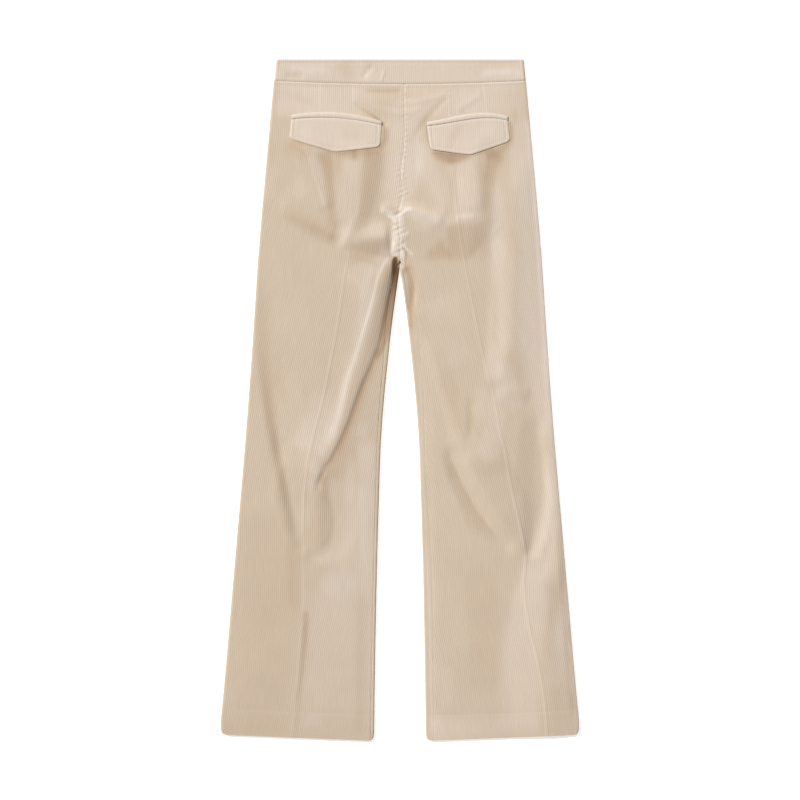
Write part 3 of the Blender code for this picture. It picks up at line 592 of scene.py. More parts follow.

# Broad patches of painted light and shade laid over the pile's colour, pale for light and dark for
# shade.
PAINTED_SHADING_PATCHES = (
    Fold("left finger", PATCH, 4, 4, (
        (306, 148, .05, 3), (313, 160, .06, 6), (320, 178, .06, 8), (324, 195, .06, 6),
        (325, 209, .06, 5))),
    Fold("left bay shade", BELL, 8, 8, (
        (307, 526, -.04, 8), (303, 545, -.13, 8, 7), (300, 564, -.04, 6))),
    Fold("right bay blob", BELL, 6, 6, (
        (514, 464, -.05, 5), (516, 480, -.1, 5), (517, 496, -.05, 5))),
    Fold("right crotch wing light", BELL, 6, 6, ((432, 208, .04, 6), (442, 210, .07, 6))),
    Fold("left seat low shade", BELL, 6, 6, ((272, 207, -.05, 6), (282, 208, -.06, 6))),
    Fold("crotch left light", PATCH, 6, 6, (
        (386, 248, .16, 8), (380, 262, .05, 7), (368, 284, .1, 14, 9), (368, 304, .13, 14, 10),
        (364, 324, .12, 14, 10), (358, 344, .08, 12, 8), (352, 364, .04, 10, 8))),
    Fold("left thigh top light", PATCH, 10, 10, ((352, 268, .07, 10), (350, 286, .07, 10))),
    Fold("right crotch edge shade", BELL, 8, 8, (
        (409, 256, -.06, 4), (412, 278, -.07, 5), (413.5, 300, -.08, 5), (410, 338, -.06, 4))),
    Fold("left valley shade", PATCH, 20, 30, (
        (265, 290, -.04, 10), (266, 360, -.1, 12, 8), (270, 400, -.14, 12, 7),
        (275, 446, -.1, 10, 7), (280, 480, -.12, 9), (285, 510, -.09, 9), (295, 545, -.05, 9))),
    Fold("left flap low shade", BELL, 6, 6, ((298, 152, -.06, 8, 6), (312, 158, -.07, 8, 6))),
    Fold("left column top shade", BELL, 6, 8, (
        (338, 156, -.09, 5), (339, 176, -.09, 5), (340, 188, -.03, 5))),
    Fold("left low column shade", BELL, 6, 6, (
        (340, 242, -.07, 5), (341, 256, -.07, 6), (348, 262, -.05, 6))),
    Fold("left bay fill", PATCH, 6, 8, (
        (324, 474, -.08, 6), (325, 486, -.1, 7), (321, 508, -.07, 12, 9), (317, 530, -.08, 14, 10),
        (312, 544, -.05, 12, 8))),
    Fold("left calf top light", PATCH, 8, 8, ((364, 420, .07, 8), (362, 440, .08, 8))),
    Fold("right knee top", PATCH, 12, 12, (
        (504, 360, .05, 14), (507, 378, .1, 16, 14), (512, 394, .1, 18, 12), (519, 412, .07, 14))),
    Fold("right calf side shade", PATCH, 20, 20, (
        (567, 618, -.07, 6), (568, 650, -.08, 6), (570, 690, -.05, 6), (576, 716, -.1, 6))),
    Fold("left bay light", BELL, 10, 10, (
        (315, 452, .08, 8), (314, 470, .1, 8), (311, 492, .06, 8))),
    Fold("left knee shelf light", BELL, 6, 6, ((278, 432, .09, 6), (288, 433, .03, 6))),
    Fold("left valley side shade", BELL, 10, 10, (
        (276, 350, -.04, 7), (279, 386, -.08, 7), (286, 406, -.03, 6))),
    Fold("left calf inner light", PATCH, 14, 14, (
        (350, 452, .08, 8), (350, 484, .08, 8), (346, 506, .04, 8))),
    Fold("right column", PATCH, 6, 3, (
        (458, 160, .08, 24, 22), (468, 190, .12, 20, 22), (470, 223, .12, 20, 24))),
    Fold("right seat side light", PATCH, 14, 30, (
        (494, 176, .03, 12), (496, 200, .09, 14), (498, 240, .08, 16), (508, 270, .06, 22, 18),
        (513, 320, .07, 20, 16), (514, 360, .08, 20, 18))),
    Fold("right stripe shade", BELL, 20, 20, (
        (492, 270, -.03, 6), (494, 330, -.08, 6), (490, 352, -.04, 6))),
    Fold("right crotch low light", PATCH, 8, 8, (
        (428, 210, .02, 8), (436, 217, .08, 10, 8), (446, 208, .03, 8))),
    Fold("right thigh light", PATCH, 30, 30, (
        (444, 286, .08, 34, 30), (450, 330, .02, 30, 24), (462, 372, .08, 30, 24))),
    Fold("right knee left light", PATCH, 14, 14, (
        (482, 384, .08, 12), (482, 412, .09, 12), (480, 436, .03, 12))),
    Fold("right calf side light", PATCH, 20, 20, (
        (568, 584, .08, 8), (566, 604, .04, 10, 8), (556, 640, .06, 10), (555, 690, .04, 10))),
    Fold("right inseam low shade", PATCH, 20, 20, ((425, 470, -.05, 6), (425, 550, -.05, 6))),
    Fold("right low inner light", PATCH, 12, 12, (
        (446, 664, .04, 10), (446, 690, .06, 10), (446, 712, .06, 10))),
    Fold("right bay shade", PATCH, 8, 8, (
        (460, 500, -.04, 8), (470, 520, -.07, 8), (482, 534, -.05, 8))),
    Fold("left low light", PATCH, 20, 20, (
        (350, 566, .05, 14), (340, 590, .05, 24, 20), (318, 572, .05, 10))),
    Fold("waist", PATCH, 8, 8, (
        (274, 98, .14, 26, 24), (320, 102, .16, 30, 26), (352, 102, .15, 28, 24),
        (376, 99, .06, 22, 18), (402, 98, .06, 22, 18), (430, 102, .12, 26, 22),
        (470, 102, .17, 30, 24), (508, 98, .1, 26, 24), (526, 98, .06, 26, 24))),
    Fold("band slant shade", BELL, 4, 4, ((376, 62, -.06, 6), (362, 64, -.08, 6))),
    Fold("left hip edge", PATCH, 20, 20, (
        (273, 120, .05, 12), (270, 150, -.03, 12), (269, 176, .05, 12), (266, 204, .04, 10))),
    Fold("left seat light", PATCH, 10, 10, ((299, 172, .04, 8), (301, 200, .08, 12, 10))),
    Fold("left seat valley", PATCH, 6, 8, (
        (323, 150, -.18, 13), (328, 163, -.2, 11, 9), (330, 180, -.16, 8, 6),
        (331, 200, -.12, 7, 6), (332, 215, -.13, 8, 7), (334, 230, -.13, 8))),
    Fold("left column side", BELL, 10, 10, (
        (339, 168, .06, 5), (340, 210, .06, 5), (341, 236, .06, 5, 6))),
    Fold("left knee", PATCH, 20, 10, (
        (324, 385, .05, 16), (320, 425, .13, 28, 20), (308, 455, .1, 34, 28))),
    Fold("left calf edge", PATCH, 20, 20, (
        (366, 436, .12, 16, 14), (366, 470, .12, 14), (370, 560, .1, 14, 10),
        (370, 735, .07, 14, 10))),
    Fold("left calf top shade", BELL, 14, 10, (
        (354, 432, -.04, 12), (345, 458, -.09, 14), (334, 482, -.09, 12))),
    Fold("left calf", PATCH, 20, 60, (
        (357, 480, .06, 14, 16), (354, 540, .08, 20), (338, 620, .08, 46, 40),
        (336, 740, .03, 50, 44))),
    Fold("band slant light", BELL, 4, 4, ((371, 69, .08, 5), (363, 80, .12, 5))),
    Fold("under waist seam", BELL, 4, 4, (
        (274, 86, .1, 4), (400, 87.6, .1, 4, 3), (450, 87, .08, 4), (505, 85, .08, 4),
        (522, 85, .02, 4))),
    Fold("drape shade", BELL, 8, 8, ((374, 98, -.06, 5), (390, 101, -.08, 5), (402, 101, -.06, 5))),
    Fold("right outer light", PATCH, 20, 30, (
        (518, 110, .06, 18, 16), (524, 150, .14, 24, 14), (529, 200, .15, 24, 20),
        (533, 260, .13, 26, 24), (535, 330, .14, 26, 30), (539, 410, .1, 20, 28),
        (545, 450, .06, 20, 14))),
    Fold("right edge light", PATCH, 10, 30, (
        (529, 118, .12, 8), (534, 150, .14, 8), (541, 260, .12, 8), (547, 350, .08, 8),
        (552, 430, .04, 8))),
    Fold("right bag", PATCH, 4, 4, (
        (447, 243, -.14, 28), (470, 242, -.08, 29, 28), (490, 240, -.06, 26, 22))),
    Fold("right bag under wing", PATCH, 4, 8, ((416, 226, .05, 8), (432, 229, .05, 8))),
    Fold("right knee side shade", BELL, 14, 14, (
        (532, 388, -.08, 5), (534, 420, -.12, 5), (534, 450, -.06, 5))),
    Fold("right thigh dent shade", BELL, 14, 14, (
        (468, 396, -.05, 6), (472, 420, -.1, 7, 6), (470, 442, -.07, 6))),
    Fold("right hem", PATCH, 4, 4, ((428, 728, .1, 24, 16), (540, 726, .05, 16))),
    Fold("left hem light", PATCH, 10, 4, ((312, 712, .04, 14), (312, 728, .08, 16))),
    Fold("right edge", PATCH, 30, 30, (
        (548, 330, .03, 10), (554, 400, .1, 10), (554, 470, .13, 12), (549, 540, .11, 20, 14),
        (530, 600, .12, 30), (522, 660, .1, 34, 30), (520, 735, .07, 34, 30))),
    Fold("right low edge", PATCH, 20, 20, (
        (561, 600, .05, 12, 10), (566, 650, .1, 14, 12), (570, 700, .03, 12))),
    Fold("left flap corner", BELL, 8, 4, (
        (284, 141, -.06, 12, 5), (294, 146, -.14, 14, 5), (303, 149, -.16, 10, 4),
        (312, 152, -.1, 8, 3))),
    Fold("under left flap", PATCH, 3, 3, (
        (334, 155.5, -.14, 4), (352, 154.5, -.2, 5, 6), (380, 151, -.14, 4))),
    Fold("left column", PATCH, 4, 6, (
        (353, 160, .1, 15, 14), (350, 172, .08, 15), (350, 200, .06, 13, 15),
        (348, 220, .06, 11, 13), (346, 236, .08, 8, 10), (337, 250, .04, 4, 5))),
    Fold("left wedge", PATCH, 4, 8, (
        (374, 148, -.16, 15), (372, 175, -.1, 13), (369, 195, -.1, 11), (365, 212, -.1, 8),
        (362, 230, -.08, 5))),
    Fold("centre seat", PATCH, 10, 14, (
        (404, 95, .04, 20, 24), (405, 125, .13, 30, 26), (406, 160, .16, 34, 30),
        (402, 190, .13, 30, 22), (394, 214, .12, 20, 14))),
    Fold("centre right", PATCH, 10, 20, (
        (424, 140, .1, 12), (426, 170, .1, 16), (440, 190, .08, 20, 18), (446, 212, .06, 12))),
    Fold("left crotch shade", PATCH, 8, 3, (
        (348, 252, -.1, 16, 14), (364, 251, -.12, 16), (378, 248, -.1, 11, 12),
        (391, 243, -.06, 4, 7))),
    Fold("left hip slant", BELL, 20, 20, (
        (276, 88, -.06, 5), (296, 97, -.08, 5), (318, 104, -.05, 5))),
    Fold("under right flap", PATCH, 3, 3, (
        (431, 152, -.26, 2), (441, 156, -.36, 7), (451, 158, -.42, 10, 8), (462, 157, -.32, 7, 5),
        (472, 155, -.2, 3))),
    Fold("right seat strip", PATCH, 8, 6, (
        (500, 152, -.22, 14, 12), (492, 168, -.14, 14, 8), (489, 190, -.1, 14, 8),
        (487, 215, -.08, 14, 9), (486, 228, -.08, 12, 9))),
    Fold("right hip shade", BELL, 10, 10, ((515, 104, -.1, 4), (515, 128, -.06, 4))),
    Fold("left inner thigh", PATCH, 6, 20, (
        (372, 264, .08, 22, 10), (364, 290, .04, 20, 10), (356, 320, .03, 18, 12),
        (350, 350, .04, 16))),
    Fold("left flank end", PATCH, 10, 10, ((322, 462, .06, 14, 8), (312, 476, .08, 12, 10))),
    Fold("right thigh band", PATCH, 20, 20, (
        (500, 180, .02, 12), (497, 230, .06, 10, 12), (496, 320, .08, 14), (496, 385, .1, 16))),
    Fold("right shin trough light", BELL, 12, 12, (
        (546, 450, .06, 5), (548, 490, .07, 5), (547, 520, .05, 6), (541, 548, .05, 8))),
    Fold("left crease shade", PATCH, 20, 40, (
        (292, 536, -.08, 12, 14), (294, 580, -.08, 12), (296, 628, -.06, 10))),
    Fold("band top", BELL, 4, 4, ((274, 63, -.05, 4), (400, 63, -.06, 4), (524, 63, -.06, 4))),
    Fold("band left light", PATCH, 6, 6, ((286, 69, .1, 8, 6), (328, 69, .1, 8, 6))),
    Fold("band left blob", BELL, 6, 6, ((286, 75, -.16, 4), (303, 74, -.12, 4))),
    Fold("band middle shade", PATCH, 4, 4, ((342, 60, -.08, 14, 16), (352, 80, -.06, 12))),
    Fold("band right light", BELL, 10, 6, ((482, 74, .12, 5), (522, 72, .12, 5))),
    Fold("band right shade", BELL, 6, 6, ((476, 64, -.06, 4), (522, 64, -.06, 4))),
    Fold("seat triangle", PATCH, 4, 3, (
        (361, 232, .08, 8, 5), (376, 229, .14, 14, 11), (389, 228, .14, 16, 11))),
    Fold("left diagonal", BELL, 20, 8, (
        (280, 209, -.08, 8, 12), (295, 219, -.13, 8, 12), (312, 228, -.16, 8, 12),
        (330, 236, -.17, 9), (340, 241, -.15, 9, 6))),
    Fold("right lip", PATCH, 3, 6, (
        (403, 213, .2, 9, 7), (414, 213, .22, 12, 9), (428, 217, .16, 12, 9),
        (441, 220, .12, 10, 7), (456, 219, .07, 7, 6), (476, 218, .07, 7, 6))),
    Fold("right bag corner", PATCH, 6, 3, (
        (424, 259, -.1, 5), (436, 252, -.16, 13, 9), (447, 246, -.16, 22, 16))),
    Fold("left inner low", PATCH, 20, 20, (
        (363, 590, -.06, 8, 10), (361, 660, -.07, 8, 12), (362, 738, -.08, 10, 12))),
    Fold("knee bulge", PATCH, 16, 6, (
        (499, 380, .08, 10, 14), (494, 430, .1, 14), (484, 459, .06, 20))),
    Fold("right inner edge", PATCH, 20, 20, (
        (428, 330, .03, 12, 8), (430, 540, .05, 12, 10), (434, 738, .05, 12, 10))),
    Fold("left hem shade", BELL, 4, 20, ((222, 728, -.08, 14), (292, 731, -.06, 14))),
    Fold("left shin", PATCH, 30, 30, (
        (270, 500, -.04, 40, 20), (276, 600, -.06, 60, 36), (262, 735, -.04, 60, 40))),
    Fold("right calf", PATCH, 30, 30, (
        (480, 560, -.04, 24), (484, 640, -.06, 24), (486, 700, -.04, 24))),
    Fold("right knee hollow", PATCH, 16, 16, (
        (436, 345, -.03, 8, 16), (450, 400, -.06, 8, 16), (456, 435, -.06, 8, 14))),
)


# Painted light and shade on the pocket flaps.
FLAP_PAINTED_SHADING_PATCHES = (
    Fold("left flap light", PATCH, 8, 8, ((300, 128, .04, 12), (316, 132, .04, 12))),
    Fold("left flap shade", PATCH, 8, 8, ((340, 132, -.03, 12), (366, 136, -.03, 12))),
    Fold("right flap slant", BELL, 6, 6, (
        (460, 122, -.08, 6, 8), (452, 138, -.1, 6, 8), (448, 150, -.08, 6, 8))),
    Fold("right flap line", BELL, 4, 2, (
        (460, 138, .08, 2), (455, 146, .14, 2), (453, 153, .14, 2))),
    Fold("right flap light", PATCH, 8, 8, ((478, 128, .05, 12), (496, 132, .03, 12))),
)


@dataclass
class FoldField:
    """All folds on rasters: wide ones softened like cloth, fine ones crisp, and the painted light
    and shade.
    """

    step: float = 0.7 * MM
    half_width: float = 0.300
    height: float = 1.092
    wide_softness: float = 2.6 * MM
    fine_softness: float = 0.7 * MM
    stroke_softness: float = 0.7 * MM
    tone_softness: float = 3.0 * MM
    wide: Array = field(init=False)
    fine: Array = field(init=False)
    nap: Array = field(init=False)
    flaps: Array = field(init=False)

    def __post_init__(self) -> None:
        """Draw every fold once."""
        self.wide = self._draw(WIDE_FOLDS, self.wide_softness)
        self.fine = self._draw(FINE_FOLDS, self.fine_softness)
        # The strokes and patches are painted light and shade for the colour, not heights.
        strokes = self._draw(PAINTED_SHADING_AND_STITCH_STROKES, self.stroke_softness)
        self.nap = (strokes + self._draw(PAINTED_SHADING_PATCHES, self.tone_softness)) / MM
        self.flaps = self._draw(FLAP_PAINTED_SHADING_PATCHES, self.tone_softness) / MM

    def _draw(self, folds: tuple[Fold, ...], softness: float) -> Array:
        """Sum the folds on a raster and blur it.

        Args:
            folds: What to draw.
            softness: Standard deviation of the Gaussian that the sum is blurred with.

        Returns:
            Heights, one row for each down.
        """
        across = np.arange(-self.half_width, self.half_width + self.step, self.step)
        down = np.arange(0, self.height, self.step)
        raster = np.zeros((len(down), len(across)))
        for fold in folds:
            fold.add_to(raster, across, down)
        spread = softness / self.step
        rows = np.fft.fftfreq(raster.shape[0])[:, None]
        columns = np.fft.rfftfreq(raster.shape[1])[None]
        kept = np.exp(-2 * (math.pi * spread) ** 2 * (rows**2 + columns**2))
        return np.fft.irfft2(np.fft.rfft2(raster) * kept, raster.shape)

    def read(self, raster: Array, across: Array, down: Array) -> Array:
        """Heights of one raster at any points.

        Args:
            raster: self.wide, self.fine, self.nap or self.flaps.
            across: Across of the points.
            down: Down of the points.

        Returns:
            Cubic (Catmull-Rom) interpolation of the 16 cells round each point.
        """
        x = np.clip((across + self.half_width) / self.step, 1, raster.shape[1] - 3)
        y = np.clip(down / self.step, 1, raster.shape[0] - 3)
        column, row = x.astype(int), y.astype(int)
        total = np.zeros(np.shape(across))
        weights_x, weights_y = self._cubic(x - column), self._cubic(y - row)
        for i in range(4):
            for j in range(4):
                cell = raster[row + i - 1, column + j - 1]
                total = total + weights_y[i] * weights_x[j] * cell
        return total

    def brushed(self, across: Array, down: Array) -> Array:
        """Painted light above 0 and painted shade below it, with the pile's own brushing, at any
        points.
        """
        return self.read(self.nap, across, down)

    @staticmethod
    def _cubic(t: Array) -> tuple[Array, ...]:
        """The four Catmull-Rom weights at share t between the middle two cells."""
        return (
            ((2 - t) * t - 1) * t / 2,
            ((3 * t - 5) * t * t + 2) / 2,
            ((4 - 3 * t) * t + 1) * t / 2,
            (t - 1) * t * t / 2,
        )


@dataclass(frozen=True)
class CentreSeam:
    """The centre-back seam: a narrow dip with uneven puckers beside it."""

    dip: Bell = Bell(-0.0003, 0.0022)
    pucker: Bell = Bell(0.00013, 0.0090)
    pitch: float = 0.0085
    slants: Pair = (300, 420)
    second: float = 0.7
    beat: float = 1.37
    phase: float = 1
    stronger: float = 1.2
    stronger_from: Pair = (0.15, 0.21)
    swell: float = 0.6
    swell_beat: float = 0.29
    end: Pair = (0.310, 0.331)

    def relief(self, pattern: Pattern, across: Array, down: Array) -> Array:
        """What the seam adds to the cloth's height.

        Args:
            pattern: The cut, which says where the seam runs.
            across: Across of the points.
            down: Down of the points.

        Returns:
            A bell-shaped dip across the seam, and two beating waves along it that die away
            from it, faded out at the fork.
        """
        apart = across - pattern.centre_back.at(down)
        turns = 2 * math.pi * down / self.pitch
        first, other = self.slants
        wave = np.sin(turns + apart * first)
        wave = wave + self.second * np.sin(self.beat * turns - apart * other + self.phase)
        lower = 1 + self.stronger * ramp(down, *self.stronger_from)
        lower = lower * (1 + self.swell * np.sin(self.swell_beat * turns))
        puckers = self.pucker.rise * lower * wave
        puckers = puckers * np.exp(-((apart / self.pucker.width) ** 2))
        return (self.dip.over(apart) + puckers) * (1 - ramp(down, *self.end))


@dataclass
class Lay:
    """How the cloth lies on the table: walls, the air between them and the folds."""

    pattern: Pattern
    folds: FoldField
    edge_air: float = 0.0020
    waist_air: float = 0.0028
    band_air: float = 0.0020
    loft: float = 0.0034
    loft_reach: float = 0.0550
    loft_shape: float = 1.3
    waist_press: float = 0.0450
    hem_press: float = 0.0600
    waist_air_reach: float = 0.0600
    least_air: float = 0.0004
    air_softness: float = 0.0006
    fold_free_edge: float = 0.0140
    fine_free_edge: float = 0.0060
    seam_rows: tuple[float, ...] = (0, 0.4, 0.9, 1.6, 2.6)
    hem_rows: tuple[float, ...] = (4.4, 3, 1.9, 1, 0.4, 0)
    seam_margin: float = 0.0040
    stitching_up: float = 0.0410
    stitching_reach: Pair = (0.0030, 0.0040)
    stitching_rows: int = 8
    hem_margin: float = 0.0060
    turned_up: float = 0.030
    waist_bend_end: float = 0.160
    hem_bend_start: float = 0.950

    def back_height(self, across: Array, down: Array) -> Array:
        """Height of the middle of the back cloth.

        The air is the edge's own, plus a loft that grows away from the edges, the waist seam
        and the hems, plus the folds, and it stays above least_air by a soft limit.

        Args:
            across: Across of the points.
            down: Down of the points.

        Returns:
            Heights above the table.
        """
        edge = self.pattern.edge_distance(across, down)
        below_waist = np.clip(down - self.pattern.waist_seam(across), 0, None)
        above_hem = np.clip(self.pattern.length - down, 0, None)
        loft = self.loft * (1 - np.exp(-((edge / self.loft_reach) ** self.loft_shape)))
        loft = loft * (1 - np.exp(-below_waist / self.waist_press))
        loft = loft * (1 - np.exp(-above_hem / self.hem_press))
        waist = (self.waist_air - self.edge_air) * np.exp(-below_waist / self.waist_air_reach)
        wide = self.folds.read(self.folds.wide, across, down)
        fine = self.folds.read(self.folds.fine, across, down)
        air = self.edge_air + waist + loft + wide * ramp(edge, 0, self.fold_free_edge)
        air = air + fine * ramp(edge, 0, self.fine_free_edge)
        air = air + CentreSeam().relief(self.pattern, across, down)
        over = (air - self.least_air) / self.air_softness
        air = self.least_air + self.air_softness * np.logaddexp(0, over)
        return 1.5 * self.pattern.cloth + air

    def fit_rows(self, across: Array, down: Array) -> Array:
        """Bend nominal rows so that the first follows the waist seam and the last the hem."""
        pattern = self.pattern
        top = pattern.waist_seam(across) + pattern.seam_gap / 2 - pattern.waist_seam_down
        low = pattern.hem(across) - pattern.length
        near_waist = 1 - ramp(down, pattern.waist_seam_down, self.waist_bend_end)
        near_hem = ramp(down, self.hem_bend_start, pattern.length)
        return down + top * near_waist + low * near_hem

    def round_hem_corner(
        self, outward: Array, down: Array, edge: Array, sign: int
    ) -> tuple[Array, Array]:
        """Draw the square corner between a leg's edge and its hem on to an arc.

        Args:
            outward: Outward of the points.
            down: Down of the points.
            edge: Outward of the leg's edge there.
            sign: 1 for the outer edge and -1 for the inner one.

        Returns:
            The moved outward and down.
        """
        corner = self.pattern.hem_corner
        from_edge, from_hem = (edge - outward) * sign, self.pattern.hem(outward) - down
        near = (from_edge < corner) & (from_hem < corner)
        p = np.where(near, 1 - from_edge / corner, 0)
        q = np.where(near, 1 - from_hem / corner, 0)
        shift_p = p * (np.sqrt(1 - q**2 / 2) - 1) * corner
        shift_q = q * (np.sqrt(1 - p**2 / 2) - 1) * corner
        return outward + shift_p * sign, down + shift_q

    def panel_rows(self, seat: float, leg: float) -> Array:
        """Nominal down of a leg panel's rows: close together at its seam, hem and stitching.

        Args:
            seat: Spacing of the rows over the seat.
            leg: Spacing of the rows down the leg.

        Returns:
            Rising downs, from the waist seam to the hem.
        """
        top, hem = self.pattern.waist_seam_down, self.pattern.length
        stitching, low = hem - self.stitching_up, self.pattern.fork_down
        above, below = self.stitching_reach
        margin, far = self.seam_margin, self.hem_margin
        return np.concatenate([
            top + np.array(self.seam_rows) * MM,
            np.linspace(top + margin, low, round((low - top) / seat)),
            np.linspace(low + leg, stitching - margin, round((stitching - low) / leg)),
            np.linspace(stitching - above, stitching + below, self.stitching_rows),
            np.linspace(stitching + far, hem - far, round(self.turned_up / leg) + 2),
            hem - np.array(self.hem_rows) * MM,
        ])


@dataclass
class WaledGrid:
    """A panel's middle surface: rows down it, and columns that follow its wales.

    index holds a point's number for each row and column. Where a wale runs out at an edge its
    number repeats the last point's, so the triangles beyond it vanish and the rest stay joined.
    The edges' columns count as whole eighths of a wale column.
    """

    index: Array
    row: Array
    wale: Array
    outward: Array

    @classmethod
    def cut(
        cls,
        head: Array,
        high: Array,
        low: Array,
        tail: Array,
        line: Array,
        spacing: float,
        lone_tail: Array | None = None,
    ) -> "WaledGrid":
        """Lay the grid out.

        Args:
            head: Outward of the columns along the outer edge, a row for each row.
            high: Outer limit of the wale columns in each row.
            low: Their inner limit.
            tail: Outward of the columns along the inner edge.
            line: Outward of the guiding wale in each row.
            spacing: Distance between columns.
            lone_tail: True for the rows whose tail is its last column alone.

        Returns:
            The grid, whose wale columns stand at line plus whole multiples of spacing.
        """
        first = np.floor((high - line) / spacing).astype(int)
        last = np.ceil((low - line) / spacing).astype(int)
        first = np.maximum(first, last)
        columns = np.arange(first.max(), last.min() - 1, -1)
        counts = first - last + 1
        lone_tail = np.zeros(len(line), bool) if lone_tail is None else lone_tail
        tails = np.where(lone_tail, 1, tail.shape[1])
        sizes = head.shape[1] + counts + tails
        starts = np.concatenate([[0], np.cumsum(sizes)[:-1]])
        middle = first[:, None] - np.clip(columns[None], last[:, None], first[:, None])
        index = np.concatenate([
            starts[:, None] + np.arange(head.shape[1]),
            starts[:, None] + head.shape[1] + middle,
            (starts + head.shape[1] + counts)[:, None]
            + np.minimum(np.arange(tail.shape[1]), tails[:, None] - 1),
        ], axis=1)
        wales = np.clip(np.broadcast_to(columns, middle.shape), last[:, None], first[:, None])
        outward = np.concatenate([head, line[:, None] + wales * spacing, tail], axis=1)
        beside = [np.round((edge - line[:, None]) / spacing * 8) / 8 for edge in (head, tail)]
        number = np.concatenate([beside[0], wales, beside[1]], axis=1)
        total = int(sizes.sum())
        flat_row, flat_wale, flat_outward = np.zeros(total, int), np.zeros(total), np.zeros(total)
        flat_row[index] = np.arange(len(starts))[:, None]
        flat_wale[index] = number
        flat_outward[index] = outward
        return cls(index, flat_row, flat_wale, flat_outward)


def grid_triangles(index: Array) -> Array:
    """Two triangles for each cell of an index grid, without those that have vanished.

    Args:
        index: Point numbers, rows by columns.

    Returns:
        Triangles that turn from the column direction to the row direction.
    """
    a, b = index[:-1, :-1].ravel(), index[:-1, 1:].ravel()
    c, d = index[1:, 1:].ravel(), index[1:, :-1].ravel()
    faces = np.concatenate([np.stack([a, b, c], 1), np.stack([a, c, d], 1)])
    return faces[(faces != np.roll(faces, 1, axis=1)).all(axis=1)]


def point_normals(points: Array, faces: Array) -> Array:
    """Unit normals at points: the sum of their triangles' cross products.

    Args:
        points: Places.
        faces: Triangles.

    Returns:
        One unit vector for each point.
    """
    a, b, c = (points[faces[:, i]] for i in range(3))
    cross = np.cross(b - a, c - a)
    total = np.stack([
        sum(np.bincount(faces[:, i], cross[:, axis], len(points)) for i in range(3))
        for axis in range(3)
    ], axis=1)
    return total / np.maximum(np.linalg.norm(total, axis=1, keepdims=True), 1e-12)


@dataclass
class Piece:
    """A finished piece of the garment, ready to be put into the scene."""

    name: str
    points: Array
    faces: Array
    chart: Array
    # Painted light and shade, with the pile's own brushing, one value for each point.
    nap: Array
    sharpest: float = 75.0

    def put(self, finish: Material, node: str) -> bpy.types.Object:
        """Make the mesh object, dress it and let it ride on the frame.

        Args:
            finish: Its material.
            node: The CAD node that it stands for.

        Returns:
            The object, at the origin and unturned.
        """
        mesh = bpy.data.meshes.new(self.name)
        mesh.from_pydata(self.points, [], self.faces)
        mesh.shade_smooth()
        mesh.set_sharp_from_angle(angle=math.radians(self.sharpest))
        corners = np.zeros(len(mesh.loops), np.int32)
        mesh.loops.foreach_get("vertex_index", corners)
        layer = mesh.uv_layers.new(name="wales")
        layer.uv.foreach_set("vector", self.chart[corners].astype(np.float32).ravel())
        # This attribute carries painted light and shade, with the pile's brushing, to the material.
        nap = mesh.attributes.new("nap", "FLOAT", "POINT")
        nap.data.foreach_set("value", self.nap.astype(np.float32))
        mesh.materials.append(finish)
        made = bpy.data.objects.new(self.name, mesh)
        bpy.context.scene.collection.objects.link(made)
        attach(made, "root")
        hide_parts(node)
        LOG.info("%s: %d triangles", self.name, len(self.faces))
        return made


@dataclass(frozen=True)
class WaleProfile:
    """The pile's rounded ridges, as heights over the cloth's own face."""

    depth: float = 0.29 * MM
    groove: float = -0.16 * MM
    steps: int = 4

    def at(self, wale: Array) -> Array:
        """A half ellipse over each wale: the root of 1 - r^2, r being 1 in the grooves."""
        share = np.mod(wale / self.steps, 1) * 2 - 1
        return self.groove + self.depth * np.sqrt(np.clip(1 - share**2, 0, 1))


def wall(
    name: str,
    points: Array,
    index: Array,
    thickness: float,
    relief: Array,
    chart: Array,
    nap: Array,
    flipped: bool,
    plain_step: int = 4,
) -> Piece:
    """A closed cloth wall round a middle surface, with its relief on the outer face only.

    The outer face is the middle surface moved out along its normals by half the thickness and
    the relief, and the plain inner face is moved in by half the thickness, on fewer columns.

    Args:
        name: The piece's name.
        points: The middle surface.
        index: Its index grid.
        thickness: The cloth's thickness.
        relief: What each point of the outer face stands proud.
        chart: Wale number and length along the wale at each point.
        nap: Painted light and shade, with the pile's brushing, at each point.
        flipped: Whether the outer face is on the grid's left-hand side.
        plain_step: Columns of the outer face to one of the inner face.

    Returns:
        The piece.
    """
    outer = grid_triangles(index)
    if flipped:
        outer = outer[:, ::-1]
    normals = point_normals(points, outer)
    columns = np.arange(index.shape[1])
    coarse = np.minimum(np.round(columns / plain_step).astype(int) * plain_step, columns[-1])
    plain = index[:, coarse]
    plain[:, -1] = index[:, -1]
    plain[0], plain[-1] = index[0], index[-1]
    used, number = np.unique(plain, return_inverse=True)
    number = number.reshape(plain.shape) + len(points)
    inner = grid_triangles(number)
    inner = inner if flipped else inner[:, ::-1]
    rims = []
    for near, far, turn in (
        (index[0], number[0], False),
        (index[-1], number[-1], True),
        (index[:, 0], number[:, 0], True),
        (index[:, -1], number[:, -1], False),
    ):
        rim = grid_triangles(np.stack([far, near]))
        rims.append(rim[:, ::-1] if turn ^ flipped else rim)
    outside = points + normals * (thickness / 2 + relief)[:, None]
    inside = points[used] - normals[used] * thickness / 2
    return Piece(
        name,
        np.concatenate([outside, inside]),
        np.concatenate([outer, inner, *rims]),
        np.concatenate([chart, chart[used]]),
        np.concatenate([nap, nap[used]]),
    )


